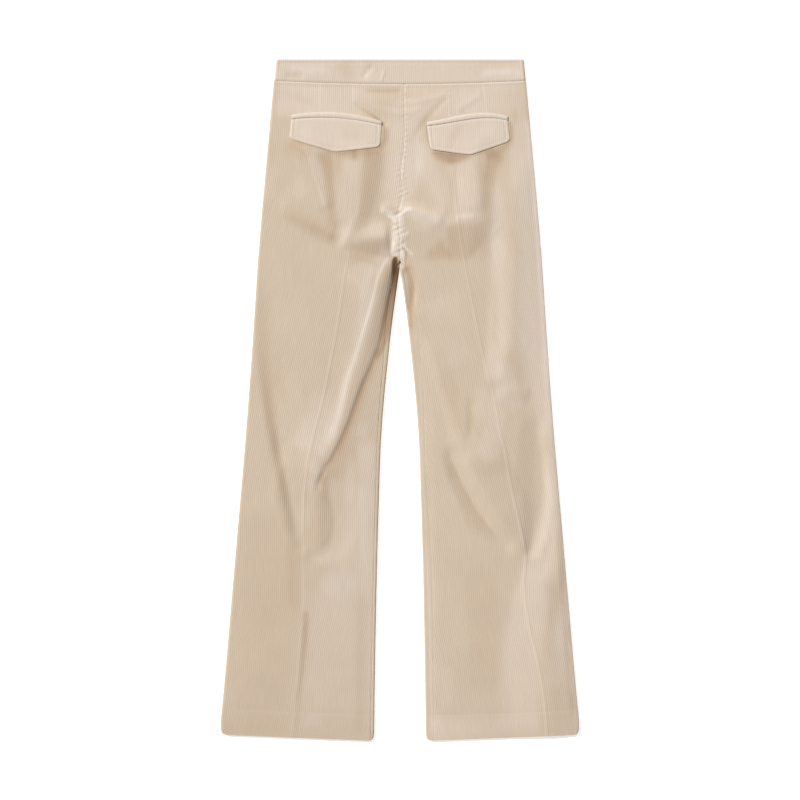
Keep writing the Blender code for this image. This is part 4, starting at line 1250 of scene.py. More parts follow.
@dataclass
class LegBack:
    """Back leg panel: side seam roll, waled cloth and its edge at the centre or inseam."""

    side: Side
    pattern: Pattern
    lay: Lay
    row_spacing: Pair = (0.0028, 0.0052)
    roll_columns: int = 6
    flat: Pair = (0.300, 1.045)
    area: float = 0.248
    # Painted light on the right leg's rolled side edge and painted shade on the left leg's.
    rolled_edge_painted_light: Pair = (-0.10, 0.62)
    wales: WaleProfile = WaleProfile()
    waist_drop: Bell = Bell(-0.9 * MM, 1.1 * MM, power=1.5)
    waist_swell: Bell = Bell(0.35 * MM, 1.6 * MM, at=2.6 * MM)
    inseam: Bell = Bell(-0.12 * MM, 1.1 * MM)
    hem_layer: float = 0.10 * MM
    hem_step: Pair = (0.0365, 0.0400)

    def build(self) -> Piece:
        """The panel's wall, from its middle surface."""
        pattern, lay, sign = self.pattern, self.lay, self.side.value
        rows = lay.panel_rows(*self.row_spacing)
        spacing = pattern.wale / pattern.wale_steps
        outer = pattern.side_reach(rows) - pattern.cloth / 2
        inner = np.maximum(pattern.fork_reach(rows), pattern.seam_gap / 2) + pattern.cloth / 2
        seat = sign * pattern.centre_back.at(rows) + pattern.sewn_gap / 2
        legs = inner + pattern.roll + pattern.strip(self.side, rows) + pattern.sewn_gap
        at_fork = ramp(rows, pattern.fork_down - pattern.fork_tuck, pattern.fork_down)
        end = seat + (legs - seat) * at_fork
        angle = np.linspace(0, math.pi / 2, self.roll_columns)
        head = outer[:, None] - pattern.roll * (1 - np.cos(angle))
        grid = WaledGrid.cut(
            head,
            outer - pattern.roll - spacing / 2,
            end + spacing / 2,
            end[:, None],
            pattern.wale_line(self.side, rows),
            spacing,
        )
        nominal = rows[grid.row]
        down = lay.fit_rows(sign * grid.outward, nominal)
        height = lay.back_height(sign * grid.outward, down)
        heads = grid.index[:, : self.roll_columns]
        seam = (height[heads] + pattern.cloth / 2) / 2 + pattern.seam_gap / 2
        height[heads] = seam + (height[heads] - seam) * np.sin(angle)
        height += self.edge_relief(grid, end[grid.row], down)
        outward, down = lay.round_hem_corner(grid.outward, down, pattern.side_reach(down), 1)
        outward, down = lay.round_hem_corner(outward, down, pattern.fork_reach(down), -1)
        points = np.stack([sign * outward, pattern.length / 2 - down, height], axis=1)
        chart = np.stack([grid.wale / pattern.wale_steps, down], axis=1)
        relief = self.wales.at(grid.wale)
        relief[heads] = self.wales.groove / 2
        relief[grid.index[:, -1]] = 0
        # Painted light and shade with the pile's brushing, then painted light on the right leg's
        # rolled side edge and painted shade on the left leg's.
        nap = lay.folds.brushed(sign * outward, down)
        nap[heads] += self.rolled_edge_painted_light[self.side is Side.RIGHT] * np.cos(angle)
        return wall(
            f"corduroy_back_{self.side.tag}",
            points,
            grid.index,
            pattern.cloth,
            relief,
            chart,
            nap,
            self.side is Side.LEFT,
        )

    def edge_relief(self, grid: WaledGrid, end: Array, down: Array) -> Array:
        """What the seams and the turned-up hem add to the panel's height.

        Args:
            grid: The panel's grid.
            end: Outward of the inner edge, at each point.
            down: Down of each point.

        Returns:
            A round drop at the waist seam and the inner edge, and the hem's second layer.
        """
        across = self.side.value * grid.outward
        below = np.clip(down - self.pattern.waist_seam(across), 0, None)
        waist = self.waist_drop.over(below) + self.waist_swell.over(below)
        from_hem = self.pattern.hem(across) - down
        hem = self.hem_layer * (1 - ramp(from_hem, *self.hem_step))
        return waist + self.inseam.over(grid.outward - end) + hem

    def dress(self, piece: Piece, finish: Material) -> None:
        """Put the panel in place of its solid."""
        made = piece.put(finish, f"back_{self.side.tag}")


@dataclass
class LegFront:
    """Front leg panel: flat on the table, up at the side seam and round the inner leg."""

    side: Side
    pattern: Pattern
    lay: Lay
    row_spacing: Pair = (0.0090, 0.0090)
    roll_columns: int = 6
    turn_columns: int = 11
    strip_columns: int = 12
    flat: Pair = (0.285, 1.045)
    area: float = 0.235
    fork_rows: int = 8
    past_fork: float = 0.004
    wales: WaleProfile = WaleProfile(groove=-0.45 * MM)
    inseam: Bell = Bell(-0.2 * MM, 1.3 * MM)

    def build(self) -> Piece:
        """The panel's wall, from its middle surface."""
        pattern, lay, sign = self.pattern, self.lay, self.side.value
        rows = lay.panel_rows(*self.row_spacing)
        tuck = pattern.fork_down - pattern.fork_tuck
        extra = np.linspace(tuck, pattern.fork_down + self.past_fork, self.fork_rows)
        rows = np.unique(np.concatenate([rows, extra]))
        spacing = pattern.wale / pattern.wale_steps
        outer = pattern.side_reach(rows) - pattern.cloth / 2
        inner = np.maximum(pattern.fork_reach(rows), pattern.seam_gap / 2) + pattern.cloth / 2
        at_fork = ramp(rows, tuck, pattern.fork_down)[:, None]
        angle = np.linspace(0, math.pi / 2, self.roll_columns)
        turn = np.linspace(-math.pi / 2, math.pi / 2, self.turn_columns)
        head = outer[:, None] - pattern.roll * (1 - np.cos(angle))
        strip = pattern.strip(self.side, rows)[:, None]
        on_top = np.linspace(0, 1, self.strip_columns + 1)[1:]
        round_leg = np.concatenate([
            inner[:, None] + pattern.roll * (1 - np.cos(turn)),
            inner[:, None] + pattern.roll + strip * on_top,
        ], axis=1)
        count = self.turn_columns + self.strip_columns
        centre = pattern.seam_gap / 2
        tail = centre + (round_leg - centre) * at_fork
        line = pattern.wale_line(self.side, rows)
        grid = WaledGrid.cut(
            head, outer - pattern.roll - spacing / 2, tail[:, 0] + spacing / 2, tail, line,
            spacing, rows <= tuck,
        )
        down = lay.fit_rows(sign * grid.outward, rows[grid.row])
        top = lay.back_height(sign * grid.outward, down)
        bottom = pattern.cloth / 2
        height = np.full(len(top), bottom)
        heads = grid.index[:, : self.roll_columns]
        seam = (top[heads] + bottom) / 2 - pattern.seam_gap / 2
        height[heads] = seam + (bottom - seam) * np.sin(angle)
        tails = grid.index[:, -count:]
        middle = (top[tails] + bottom) / 2
        climb = np.concatenate([np.sin(turn), np.ones(self.strip_columns)])
        height[tails] = bottom + (middle + (top[tails] - middle) * climb - bottom) * at_fork
        end = tail[:, -1][grid.row]
        in_leg = at_fork[:, 0][grid.row]
        height += self.inseam.over(grid.outward - end) * in_leg * (height > middle.min())
        outward, down = lay.round_hem_corner(grid.outward, down, pattern.side_reach(down), 1)
        outward, down = lay.round_hem_corner(outward, down, pattern.fork_reach(down), -1)
        points = np.stack([sign * outward, pattern.length / 2 - down, height], axis=1)
        chart = np.stack([grid.wale / pattern.wale_steps, down], axis=1)
        relief = self.wales.at(grid.wale)
        relief[heads] = self.wales.groove / 2
        relief[tails[:, : self.turn_columns]] = self.wales.groove / 2
        relief[tails[:, -1]] = self.wales.groove / 2
        # The strip on top carries the same painted light and shade, with the pile's brushing.
        return wall(
            f"corduroy_front_{self.side.tag}",
            points,
            grid.index,
            pattern.cloth,
            relief,
            chart,
            lay.folds.brushed(sign * outward, down) * in_leg,
            self.side is Side.RIGHT,
        )

    def dress(self, piece: Piece, finish: Material) -> None:
        """Put the panel in place of its solid."""
        made = piece.put(finish, f"front_{self.side.tag}")


@dataclass
class Waistband:
    """The waistband: its back in one piece, and its two front halves under it."""

    pattern: Pattern
    lay: Lay
    roll_columns: int = 6
    wales: WaleProfile = WaleProfile()
    plain_wales: WaleProfile = WaleProfile(groove=-0.45 * MM)
    row_shares: tuple[float, ...] = (
        0, .012, .035, .07, .11, .14, .17, .21, .30, .42, .54, .66, .78, .88, .94, .97, .99, 1,
    )
    top_drop: Bell = Bell(-0.7 * MM, 1.2 * MM, power=1.5)
    seam_drop: Bell = Bell(-0.9 * MM, 1.2 * MM, power=1.5)
    plain_top: float = 1.5 * MM
    # A fixed paler tone for the whole band, to which its painted light and shade is added.
    nap: float = 0.16
    front_nap: float = 0.04
    back_width: float = 0.398
    front_width: float = 0.199

    def rows(self, across: Array) -> Array:
        """Down of the band's rows at each across: close together along its two edges."""
        seam = self.pattern.waist_seam(across) - self.pattern.seam_gap / 2
        return np.array(self.row_shares)[:, None] * seam

    def build_back(self) -> Piece:
        """The back of the band, from side seam to side seam."""
        pattern = self.pattern
        spacing = pattern.wale / pattern.wale_steps
        angle = np.linspace(0, math.pi / 2, self.roll_columns)
        edge = pattern.waist_half - pattern.roll * (1 - np.cos(angle))
        count = int((edge[-1] - spacing / 2) / spacing)
        middle = np.arange(-count, count + 1) * spacing
        across = np.concatenate([-edge, middle, edge[::-1]])
        lift = np.concatenate([np.sin(angle), np.ones(len(middle)), np.sin(angle[::-1])])
        number = np.concatenate([
            np.full(len(angle), -count), np.arange(-count, count + 1), np.full(len(angle), count),
        ])
        down = self.rows(across)
        across = across * (pattern.side_reach(down) - pattern.band_cloth / 2) / pattern.waist_half
        top = 1.5 * pattern.band_cloth + self.lay.band_air
        seam = (top + pattern.band_cloth / 2) / 2 + pattern.seam_gap / 2
        fine = self.lay.folds.read(self.lay.folds.fine, across, down)
        height = seam + (top + fine + self.edges(across, down) - seam) * lift
        relief = np.broadcast_to(self.wales.at(number), down.shape) * self.flatter(down)
        points = np.stack([across, pattern.length / 2 - down, height], axis=-1).reshape(-1, 3)
        index = np.arange(down.size).reshape(down.shape)
        chart = np.stack([np.broadcast_to(number / pattern.wale_steps, down.shape), down], -1)
        # The band's colour value: its fixed tone plus painted light and shade.
        return wall(
            "corduroy_band_back", points, index, pattern.band_cloth, relief.ravel(),
            chart.reshape(-1, 2), self.nap + self.lay.folds.brushed(across, down).ravel(), True,
        )

    def edges(self, across: Array, down: Array) -> Array:
        """Round drops at the band's folded top edge and at the waist seam."""
        below = self.pattern.waist_seam(across) - down
        return self.top_drop.over(down) + self.seam_drop.over(below)

    def flatter(self, down: Array) -> Array:
        """1 on the band and 0 along its top edge."""
        return ramp(down, 0, self.plain_top)

    def build_front(self, side: Side) -> Piece:
        """One front half of the band, flat on the table, from side seam to centre front.

        Args:
            side: Which half.

        Returns:
            Its wall.
        """
        pattern = self.pattern
        spacing = pattern.wale / pattern.wale_steps
        angle = np.linspace(0, math.pi / 2, self.roll_columns)
        edge = pattern.waist_half - pattern.roll * (1 - np.cos(angle))
        count = int((edge[-1] - spacing / 2) / spacing)
        middle = np.arange(count, 0, -1) * spacing
        outward = np.concatenate([edge, middle, [pattern.seam_gap / 2]])
        number = np.concatenate([np.full(len(angle), count), np.arange(count, -1, -1)])
        sink = np.concatenate([np.sin(angle), np.ones(count + 1)])
        down = self.rows(outward)[::2]
        scale = (pattern.side_reach(down) - pattern.band_cloth / 2) / pattern.waist_half
        outward = outward * scale
        outward[:, -1] = pattern.seam_gap / 2
        bottom = pattern.band_cloth / 2
        top = 1.5 * pattern.band_cloth + self.lay.band_air
        seam = (top + bottom) / 2 - pattern.seam_gap / 2
        height = np.broadcast_to(seam + (bottom - seam) * sink, down.shape)
        relief = np.broadcast_to(self.plain_wales.at(number), down.shape).copy()
        relief[:, : self.roll_columns] = self.plain_wales.groove / 2
        points = np.stack([side.value * outward, pattern.length / 2 - down, height], axis=-1)
        chart = np.stack([np.broadcast_to(number / pattern.wale_steps, down.shape), down], -1)
        return wall(
            f"corduroy_band_front_{side.tag}", points.reshape(-1, 3),
            np.arange(down.size).reshape(down.shape), pattern.band_cloth, relief.ravel(),
            chart.reshape(-1, 2), np.full(down.size, self.front_nap), side is Side.RIGHT,
        )

    def dress(self, piece: Piece, node: str, width: float, finish: Material) -> None:
        """Put one part of the band in place of its solid.

        Args:
            piece: The part.
            node: Its CAD node.
            width: Its length along the waist; not used.
            finish: Its material.
        """
        made = piece.put(finish, node)


@dataclass(frozen=True)
class FlapCut:
    """A pocket flap by its corners, arch and point in mm, and how far it stands off at its ends.

    lean moves the arch's highest place: it's in the middle at 1 and nearer the right above it.
    """

    top_left: Pair
    top_right: Pair
    low_left: Pair
    low_right: Pair
    arch: float
    lean: float
    point: float
    gape_left: float
    gape_right: float


@dataclass
class BackPocket:
    """A back pocket: a narrow rounded welt and a pointed flap that hangs from under it."""

    side: Side
    pattern: Pattern
    lay: Lay
    cut: FlapCut
    flap_cloth: float = 0.0009
    welt_cloth: float = 0.0016
    lay_gap: float = 0.00020
    corner: float = 0.0060
    point_softness: float = 0.05
    welt_height: Pair = (5.4, 2.2)
    width: float = 0.140
    sewn_width: float = 0.138
    flap_depth: float = 0.045
    welt_depth: float = 0.0085
    least_depth: float = 0.010
    end_crowding: float = 0.12
    flap_columns: Stations = ((0, .004, .010, .018), (.026, .974, 170), (.982, .990, .996, 1))
    flap_rows: Stations = ((0, .01, .03, .06), (.11, .88, 16), (.92, .95, .97, .985, .995, 1))
    gape_power: float = 1.5
    edge_roll: float = 1.1 * MM
    edge_rolled: float = 0.9
    plain_edge: float = 1.5 * MM
    turning: Bell = Bell(-0.28 * MM, 1.5 * MM, at=6 * MM)
    tucked: Bell = Bell(-0.20 * MM, 1.2 * MM, power=1.5)
    # flap_nap pales the whole flap. end_painted_highlight and top_painted_highlight paint
    # highlights on its rolled rims, low_edge_painted_shadow paints the shadow at its lower edge,
    # and stitching darkens its stitch line.
    flap_nap: float = 0.17
    end_painted_highlight: Bell = Bell(0.12, 1.6 * MM)
    top_painted_highlight: Bell = Bell(0.10, 1.4 * MM, at=2 * MM)
    stitching: Bell = Bell(-0.05, 0.9 * MM, at=6 * MM)
    low_edge_painted_shadow: Bell = Bell(-0.15, 0.9 * MM)
    welt_points: tuple[int, int] = (121, 13)
    welt_crown: float = 0.9 * MM
    welt_sunk: float = 0.5 * MM
    welt_end: float = 1.5 * MM
    welt_end_crown: float = 0.2
    welt_relief: float = -0.1 * MM
    welt_nap: float = 0.21
    wales: WaleProfile = WaleProfile(depth=0.2 * MM, groove=-0.10 * MM)

    def edges(self, share: Array) -> tuple[Array, Array]:
        """Top and lower edge of the flap.

        Args:
            share: 0 at its left end to 1 at its right.

        Returns:
            Two rows of (across, down): the top arched as a parabola, the lower one falling to
            a point along straight lines whose meeting is slightly rounded.
        """
        cut = self.cut
        corners = (cut.top_left, cut.top_right, cut.low_left, cut.low_right)
        top_left, top_right, low_left, low_right = (np.array(c) * MM for c in corners)
        part = share[:, None]
        top = top_left + (top_right - top_left) * part
        low = low_left + (low_right - low_left) * part
        leaning = part**cut.lean
        top[:, 1:] -= cut.arch * MM * 4 * leaning * (1 - leaning)
        off_middle = np.sqrt((2 * part - 1) ** 2 + self.point_softness**2)
        low[:, 1:] += cut.point * MM * (1 - off_middle)
        return top, low

    def seat(self, across: Array, down: Array) -> Array:
        """Height of the seat's face under the pocket."""
        return self.lay.back_height(across, down) + self.pattern.cloth / 2 + self.lay_gap

    def shares(self, count: int) -> Array:
        """Shares along the welt, closer together at both ends."""
        crowded = (1 - np.cos(np.linspace(0, math.pi, count))) / 2
        return crowded * self.end_crowding + (1 - self.end_crowding) * np.linspace(0, 1, count)

    @staticmethod
    def spread(shares: Stations) -> Array:
        """Shares given singly, then as (first, last, count), then singly again."""
        start, (first, last, count), end = shares
        return np.concatenate([start, np.linspace(first, last, count), end])

    def build_flap(self) -> Piece:
        """The flap's wall, its lower edge standing off the seat."""
        share = self.spread(self.flap_columns)
        drop = self.spread(self.flap_rows)[:, None]
        top, low = self.edges(share)
        plan = top + (low - top) * drop[..., None]
        height_here = (low - top)[:, 1]
        width = plan[0, -1, 0] - plan[0, 0, 0]
        from_low, from_top = (1 - drop) * height_here, drop * height_here
        for end, sign in ((0, 1), (-1, -1)):
            away = np.abs(plan[..., 0] - plan[:, end, 0][:, None])
            p = np.clip(1 - away / self.corner, 0, 1)
            q = np.clip(1 - from_low / self.corner, 0, 1)
            plan[..., 0] += sign * p * (1 - np.sqrt(1 - q**2 / 2)) * self.corner
            plan[..., 1] -= q * (1 - np.sqrt(1 - p**2 / 2)) * self.corner
        gape = self.cut.gape_left + (self.cut.gape_right - self.cut.gape_left) * share
        seat = self.seat(plan[..., 0], plan[..., 1])
        height = seat + self.flap_cloth / 2 + gape * MM * drop**self.gape_power
        ends = np.broadcast_to(np.minimum(share, 1 - share) * width, from_low.shape)
        edge = np.minimum(ends, from_low)
        rolled = np.sqrt(np.clip(1 - edge / self.edge_roll, 0, 1))
        rolled = -self.flap_cloth / 2 * rolled * self.edge_rolled
        relief = rolled + self.turning.over(edge) + self.tucked.over(from_top)
        steps = self.pattern.wale_steps
        number = plan[..., 0] / self.pattern.wale * steps
        waled = (edge > self.plain_edge) * (from_top > self.plain_edge)
        relief = relief + self.wales.at(np.round(number)) * waled
        points = np.stack([plan[..., 0], self.pattern.length / 2 - plan[..., 1], height], axis=-1)
        chart = np.stack([number / steps, plan[..., 1]], axis=-1)
        # Painted highlights on the rims, painted shadow at the lower edge, and painted light and
        # shade patches.
        brushed = self.rims(ends, from_low, from_top)
        folds = self.lay.folds
        brushed = brushed + folds.read(folds.flaps, plan[..., 0], plan[..., 1])
        return wall(
            f"corduroy_flap_{self.side.tag}", points.reshape(-1, 3),
            np.arange(height.size).reshape(height.shape), self.flap_cloth, relief.ravel(),
            chart.reshape(-1, 2), brushed.ravel(), True, 2,
        )

    def rims(self, ends: Array, from_low: Array, from_top: Array) -> Array:
        """A flap's painted light and shade: painted highlights along its rolled ends and top, a
        darker stitching line and painted shadow at its lower edge.

        Args:
            ends: Distance to the nearer end.
            from_low: Distance to the lower edge.
            from_top: Distance to the seam.

        Returns:
            Bells over each distance, added to flap_nap, the flap's middle value.
        """
        # pale sums the painted highlights along the rolled ends and the top edge.
        pale = self.end_painted_highlight.over(ends) + self.top_painted_highlight.over(from_top)
        stitched = self.stitching.over(np.minimum(ends, from_low))
        return self.flap_nap + pale + stitched + self.low_edge_painted_shadow.over(from_low)

    def build_welt(self) -> Piece:
        """The welt: a strip as tall as welt_height says, rounded like a cord across its width."""
        columns, rows = self.welt_points
        share = self.shares(columns)
        seam, _ = self.edges(share)
        ends, more = self.welt_height
        tall = (ends + more * np.sin(math.pi * share)) * MM
        drop = (1 - np.cos(np.linspace(0, math.pi, rows)))[:, None] / 2
        plan = seam - np.stack([np.zeros_like(tall), self.pattern.seam_gap + tall], axis=-1)
        plan = plan + np.stack([np.zeros_like(drop * tall), drop * tall], axis=-1)
        seat = self.seat(plan[..., 0], plan[..., 1])
        crown = self.welt_crown * np.sqrt(np.clip(1 - (2 * drop - 1) ** 2, 0, 1))
        width = plan[0, -1, 0] - plan[0, 0, 0]
        end = np.minimum(share, 1 - share) * width
        least = self.welt_end_crown
        crown = crown * np.sqrt(ramp(end, 0, self.welt_end) * (1 - least) + least)
        height = seat + self.welt_cloth / 2 + crown - self.welt_sunk
        points = np.stack([plan[..., 0], self.pattern.length / 2 - plan[..., 1], height], axis=-1)
        number = plan[..., 0] / self.pattern.wale
        chart = np.stack([number, plan[..., 1]], axis=-1)
        return wall(
            f"corduroy_welt_{self.side.tag}", points.reshape(-1, 3),
            np.arange(height.size).reshape(height.shape), self.welt_cloth,
            np.full(height.size, self.welt_relief), chart.reshape(-1, 2),
            np.full(height.size, self.welt_nap), True, 2,
        )

    def dress(self, piece: Piece, node: str, depth: float, finish: Material) -> None:
        """Put a part of the pocket in place of its solid.

        Args:
            piece: The flap or the welt.
            node: Its CAD node.
            depth: Its height on the seat; not used.
            finish: Its material.
        """
        made = piece.put(finish, node)


class NodeKit:
    """A small helper that lays out shader nodes."""

    def __init__(self, name: str) -> None:
        """Start an empty material with an output and a Principled BSDF."""
        self.material = bpy.data.materials.new(name)
        self.material.use_nodes = True
        self.tree = self.material.node_tree
        self.tree.nodes.clear()
        self.shader = self.add("ShaderNodeBsdfPrincipled")
        output = self.add("ShaderNodeOutputMaterial")
        self.link(self.shader.outputs["BSDF"], output.inputs["Surface"])

    def add(self, kind: str, **settings: object) -> bpy.types.Node:
        """A new node with its properties set."""
        node = self.tree.nodes.new(kind)
        for key, value in settings.items():
            setattr(node, key, value)
        return node

    def link(self, output: Socket, target: Socket) -> None:
        """Join two sockets."""
        self.tree.links.new(output, target)

    def math(self, operation: str, *values: object, clamp: bool = False) -> Socket:
        """A Math node on sockets or numbers.

        Args:
            operation: Blender's name for it.
            *values: Its inputs, in order.
            clamp: Whether the result is kept from 0 to 1.

        Returns:
            Its output.
        """
        node = self.add("ShaderNodeMath", operation=operation, use_clamp=clamp)
        for socket, value in zip(node.inputs, values):
            if isinstance(value, Socket):
                self.link(value, socket)
            else:
                socket.default_value = value
        return node.outputs["Value"]

    def noise(self, vector: Socket, scale: float, detail: float) -> Socket:
        """Fractal noise from 0 to 1 round 0.5, on a vector."""
        node = self.add("ShaderNodeTexNoise")
        self.link(vector, node.inputs["Vector"])
        node.inputs["Scale"].default_value = scale
        node.inputs["Detail"].default_value = detail
        return node.outputs["Fac"]

    def mix(self, share: object, first: object, second: object) -> Socket:
        """A colour mix; each argument is a socket or a value."""
        node = self.add("ShaderNodeMix", data_type="RGBA")
        sockets = (node.inputs[number] for number in (0, 6, 7))
        for socket, value in zip(sockets, (share, first, second)):
            if isinstance(value, Socket):
                self.link(value, socket)
            else:
                socket.default_value = value
        return node.outputs[2]


@dataclass(frozen=True)
class Corduroy:
    """Cotton corduroy with a soft matt pile, in linear colours.

    The brushed colour, a painted highlight with paler pile, is whole where the painted light times
    painted_light_gain is 1, the warm_painted_shade colour where it is full_warm_shade_at, and the
    shaded colour, painted deep shade, at -1.
    """

    name: str = "sand corduroy"
    ridge: Colour = (0.565, 0.465, 0.360, 1)
    # groove: painted shade in the grooves. brushed: painted highlight with paler pile.
    # warm_painted_shade and shaded: painted shade, light and deep.
    groove: Colour = (0.430, 0.330, 0.235, 1)
    brushed: Colour = (0.800, 0.720, 0.672, 1)
    warm_painted_shade: Colour = (0.490, 0.370, 0.262, 1)
    shaded: Colour = (0.130, 0.065, 0.030, 1)
    groove_shade_share: float = 0.14
    streak: float = 0.08
    fuzz: float = 0.08
    mottle: float = 0.05
    groove_power: float = 4.0
    streak_scale: Pair = (1.7, 28.0)
    streak_detail: float = 1.5
    fuzz_scale: float = 1500.0
    mottle_scale: float = 14.0
    painted_light_gain: float = 1.8
    full_warm_shade_at: float = -0.2
    bump_streak: float = 0.6
    bump_strength: float = 0.3
    bump_height: float = 0.2 * MM
    specular: float = 0.2
    roughness: float = 0.92
    sheen: float = 0.15
    sheen_roughness: float = 0.45
    sheen_tint: Colour = (0.95, 0.86, 0.74, 1)

    def material(self) -> Material:
        """The node material.

        The wale number's distance from the ridge, to the fourth power, paints shade into the
        grooves.
        Noise drawn out along the wales streaks the pile, fine noise in all directions gives its
        fuzz, and a slow noise mottles the dye. The nap attribute, painted light and shade
        with the pile's brushing, mixes in the brushed colour, a painted highlight, above 0, the
        warm_painted_shade colour below 0 and the shaded colour, painted deep shade, below
        full_warm_shade_at.

        Returns:
            The material.
        """
        kit = NodeKit(self.name)
        chart = kit.add("ShaderNodeUVMap", uv_map="wales")
        place = kit.add("ShaderNodeTexCoord")
        parts = kit.add("ShaderNodeSeparateXYZ")
        kit.link(chart.outputs["UV"], parts.inputs["Vector"])
        across = kit.math("FRACT", parts.outputs["X"])
        off = kit.math("ABSOLUTE", kit.math("SUBTRACT", kit.math("MULTIPLY", across, 2.0), 1.0))
        groove = kit.math("POWER", off, self.groove_power)
        drawn = kit.add("ShaderNodeCombineXYZ")
        for axis, scale in zip("XY", self.streak_scale):
            kit.link(kit.math("MULTIPLY", parts.outputs[axis], scale), drawn.inputs[axis])
        streak = kit.noise(drawn.outputs["Vector"], 1.0, self.streak_detail)
        fuzz = kit.noise(place.outputs["Object"], self.fuzz_scale, 2.0)
        mottle = kit.noise(place.outputs["Object"], self.mottle_scale, 3.0)
        # Painted shade in the grooves between the wales.
        colour = kit.mix(kit.math("MULTIPLY", groove, self.groove_shade_share), self.ridge, self.groove)
        # The attribute holds painted light and shade with the pile's brushing.
        nap = kit.add("ShaderNodeAttribute", attribute_name="nap")
        up = kit.math("MULTIPLY", nap.outputs["Fac"], self.painted_light_gain, clamp=True)
        warm_painted_shade = kit.math("MULTIPLY", nap.outputs["Fac"], 1 / self.full_warm_shade_at, clamp=True)
        fall = -1 / (1 + self.full_warm_shade_at)
        deep_painted_shade = kit.math("MULTIPLY_ADD", nap.outputs["Fac"], fall, -self.full_warm_shade_at * fall, clamp=True)
        # Painted highlight above 0, painted warm shade below 0 and painted deep shade below
        # full_warm_shade_at.
        colour = kit.mix(warm_painted_shade, kit.mix(up, colour, self.brushed), self.warm_painted_shade)
        colour = kit.mix(deep_painted_shade, colour, self.shaded)
        light = 1.0
        for source, amount in ((streak, self.streak), (fuzz, self.fuzz), (mottle, self.mottle)):
            swing = kit.math("MULTIPLY_ADD", source, 2 * amount, 1 - amount)
            light = kit.math("MULTIPLY", swing, light)
        scaled = kit.add("ShaderNodeVectorMath", operation="SCALE")
        kit.link(colour, scaled.inputs["Vector"])
        kit.link(light, scaled.inputs["Scale"])
        kit.link(scaled.outputs["Vector"], kit.shader.inputs["Base Color"])
        raised = kit.math("MULTIPLY_ADD", streak, self.bump_streak, fuzz)
        bump = kit.add("ShaderNodeBump")
        bump.inputs["Strength"].default_value = self.bump_strength
        bump.inputs["Distance"].default_value = self.bump_height
        kit.link(raised, bump.inputs["Height"])
        kit.link(bump.outputs["Normal"], kit.shader.inputs["Normal"])
        sockets = kit.shader.inputs
        sockets["Roughness"].default_value = self.roughness
        sockets["Specular IOR Level"].default_value = self.specular
        sockets["Sheen Weight"].default_value = self.sheen
        sockets["Sheen Roughness"].default_value = self.sheen_roughness
        sockets["Sheen Tint"].default_value = self.sheen_tint
        return kit.material


@dataclass(frozen=True)
class ZipMetal:
    """Brushed nickel for the hidden zip and waist hook."""

    name: str = "brushed nickel"
    colour: Colour = (0.62, 0.60, 0.56, 1)
    roughness: float = 0.34
    streak: float = 0.3
    scratches: Vector = (4000.0, 200.0, 4000.0)

    def material(self) -> Material:
        """Metal whose roughness is streaked by noise drawn out along the zip."""
        kit = NodeKit(self.name)
        place = kit.add("ShaderNodeTexCoord")
        turn = kit.add("ShaderNodeMapping")
        kit.link(place.outputs["Object"], turn.inputs["Vector"])
        turn.inputs["Scale"].default_value = self.scratches
        streak = kit.noise(turn.outputs["Vector"], 1.0, 2.0)
        least = self.roughness - self.streak / 2
        rough = kit.math("MULTIPLY_ADD", streak, self.streak, least)
        kit.link(rough, kit.shader.inputs["Roughness"])
        kit.shader.inputs["Base Color"].default_value = self.colour
        kit.shader.inputs["Metallic"].default_value = 1.0
        return kit.material


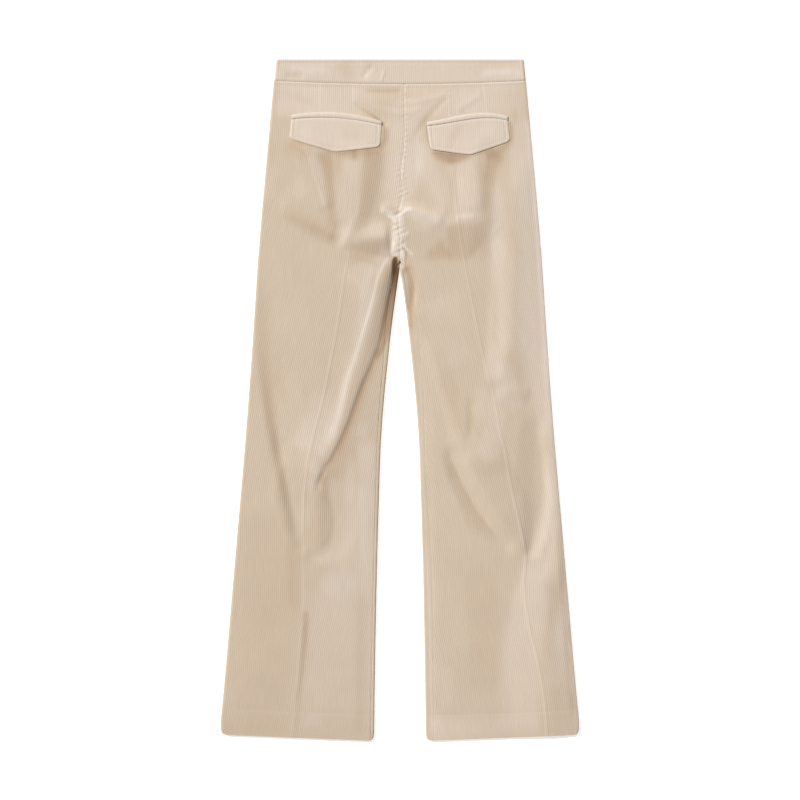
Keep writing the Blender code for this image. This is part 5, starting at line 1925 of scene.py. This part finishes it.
@dataclass
class Studio:
    """A pale floor, soft light from the upper left and a camera straight above."""

    floor_size: float = 6.0
    floor_level: float = -0.0004
    floor_glow: float = 0.6
    floor_grain: float = 500.0
    floor_tones: Pair = (0.93, 0.97)
    floor_roughness: float = 0.9
    lens: float = 100.0
    sensor: float = 36.0
    view_width: float = 1.26688
    view_level: float = 0.008
    view_across: float = 0.0003
    key: Vector = (-0.66, 0.46, 0.60)
    key_spread: float = 0.26
    key_strength: float = 4.4
    key_colour: Vector = (1.0, 0.995, 0.995)
    fill: Vector = (1.4, 2.4, 3.6)
    fill_size: float = 2.2
    fill_power: float = 40.0
    fill_colour: Vector = (1.0, 0.95, 0.88)
    sky: float = 0.15

    def build(self) -> None:
        """Make the floor, the lights and the camera."""
        scene = bpy.context.scene
        scene.view_settings.view_transform = "Standard"
        half = self.floor_size / 2
        corners = [(-half, -half), (half, -half), (half, half), (-half, half)]
        mesh = bpy.data.meshes.new("floor")
        mesh.from_pydata([(x, y, self.floor_level) for x, y in corners], [], [(0, 1, 2, 3)])
        kit = NodeKit("pale paper")
        place = kit.add("ShaderNodeTexCoord")
        grain = kit.noise(place.outputs["Object"], self.floor_grain, 2.0)
        dull, bright = ((tone, tone, tone, 1) for tone in self.floor_tones)
        kit.link(kit.mix(grain, dull, bright), kit.shader.inputs["Base Color"])
        kit.shader.inputs["Roughness"].default_value = self.floor_roughness
        kit.shader.inputs["Emission Color"].default_value = (1, 1, 1, 1)
        kit.shader.inputs["Emission Strength"].default_value = self.floor_glow
        mesh.materials.append(kit.material)
        floor = bpy.data.objects.new("floor", mesh)
        scene.collection.objects.link(floor)
        key = bpy.data.lights.new("key", "SUN")
        key.angle, key.energy, key.color = self.key_spread, self.key_strength, self.key_colour
        self.stand(key, self.key)
        fill = bpy.data.lights.new("fill", "AREA")
        fill.size, fill.energy, fill.color = self.fill_size, self.fill_power, self.fill_colour
        self.stand(fill, self.fill)
        world = bpy.data.worlds.new("studio")
        world.use_nodes = True
        background = world.node_tree.nodes["Background"]
        background.inputs["Color"].default_value = (*self.fill_colour, 1)
        background.inputs["Strength"].default_value = self.sky
        scene.world = world
        camera = bpy.data.cameras.new("camera")
        camera.lens, camera.sensor_width = self.lens, self.sensor
        seat = bpy.data.objects.new("camera", camera)
        distance = self.view_width * self.lens / self.sensor
        seat.location = (self.view_across, 0.0, distance + self.view_level)
        scene.collection.objects.link(seat)
        scene.camera = seat
        LOG.info("studio: camera %.3f m up", seat.location.z)

    @staticmethod
    def stand(light: bpy.types.Light, place: Vector) -> None:
        """Stand a light somewhere, turned towards the middle of the floor.

        Args:
            light: The light.
            place: Where it stands.
        """
        lamp = bpy.data.objects.new(light.name, light)
        lamp.location = place
        x, y, z = place
        lamp.rotation_euler = (math.atan2(math.hypot(x, y), z), 0, math.atan2(x, -y))
        bpy.context.scene.collection.objects.link(lamp)


FLAPS = {
    Side.LEFT: FlapCut(
        top_left=(-171.5, 95), top_right=(-29, 104.5), low_left=(-175, 126),
        low_right=(-31.5, 139.3), arch=6.5, lean=1.0, point=15, gape_left=0.0, gape_right=0.1,
    ),
    Side.RIGHT: FlapCut(
        top_left=(43.5, 106), top_right=(170.5, 97), low_left=(48.5, 143.5),
        low_right=(175, 130), arch=6.3, lean=1.7, point=15.5, gape_left=0.6, gape_right=0.1,
    ),
}


def main() -> None:
    """Build and dress the garment piece by piece, then the studio."""
    logging.basicConfig(level=logging.INFO, format="%(name)s %(message)s")
    pattern = Pattern()
    lay = Lay(pattern, FoldField())
    cloth = Corduroy().material()
    for side in Side:
        front = LegFront(side, pattern, lay)
        front.dress(front.build(), cloth)
        back = LegBack(side, pattern, lay)
        back.dress(back.build(), cloth)
        pocket = BackPocket(side, pattern, lay, FLAPS[side])
        pocket.dress(pocket.build_welt(), f"welt_{side.tag}", pocket.welt_depth, cloth)
        pocket.dress(pocket.build_flap(), f"flap_{side.tag}", pocket.flap_depth, cloth)
    band = Waistband(pattern, lay)
    band.dress(band.build_back(), "waistband_back", band.back_width, cloth)
    for side in Side:
        front = band.build_front(side)
        band.dress(front, f"waistband_front_{side.tag}", band.front_width, cloth)
    metal = ZipMetal().material()
    for node in ("fly_zip", "waist_hook"):
        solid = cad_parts[node]
        solid.data.materials.clear()
        solid.data.materials.append(metal)
        LOG.info("%s: dressed solid", node)
    Studio().build()


if __name__ == "__main__":
    main()
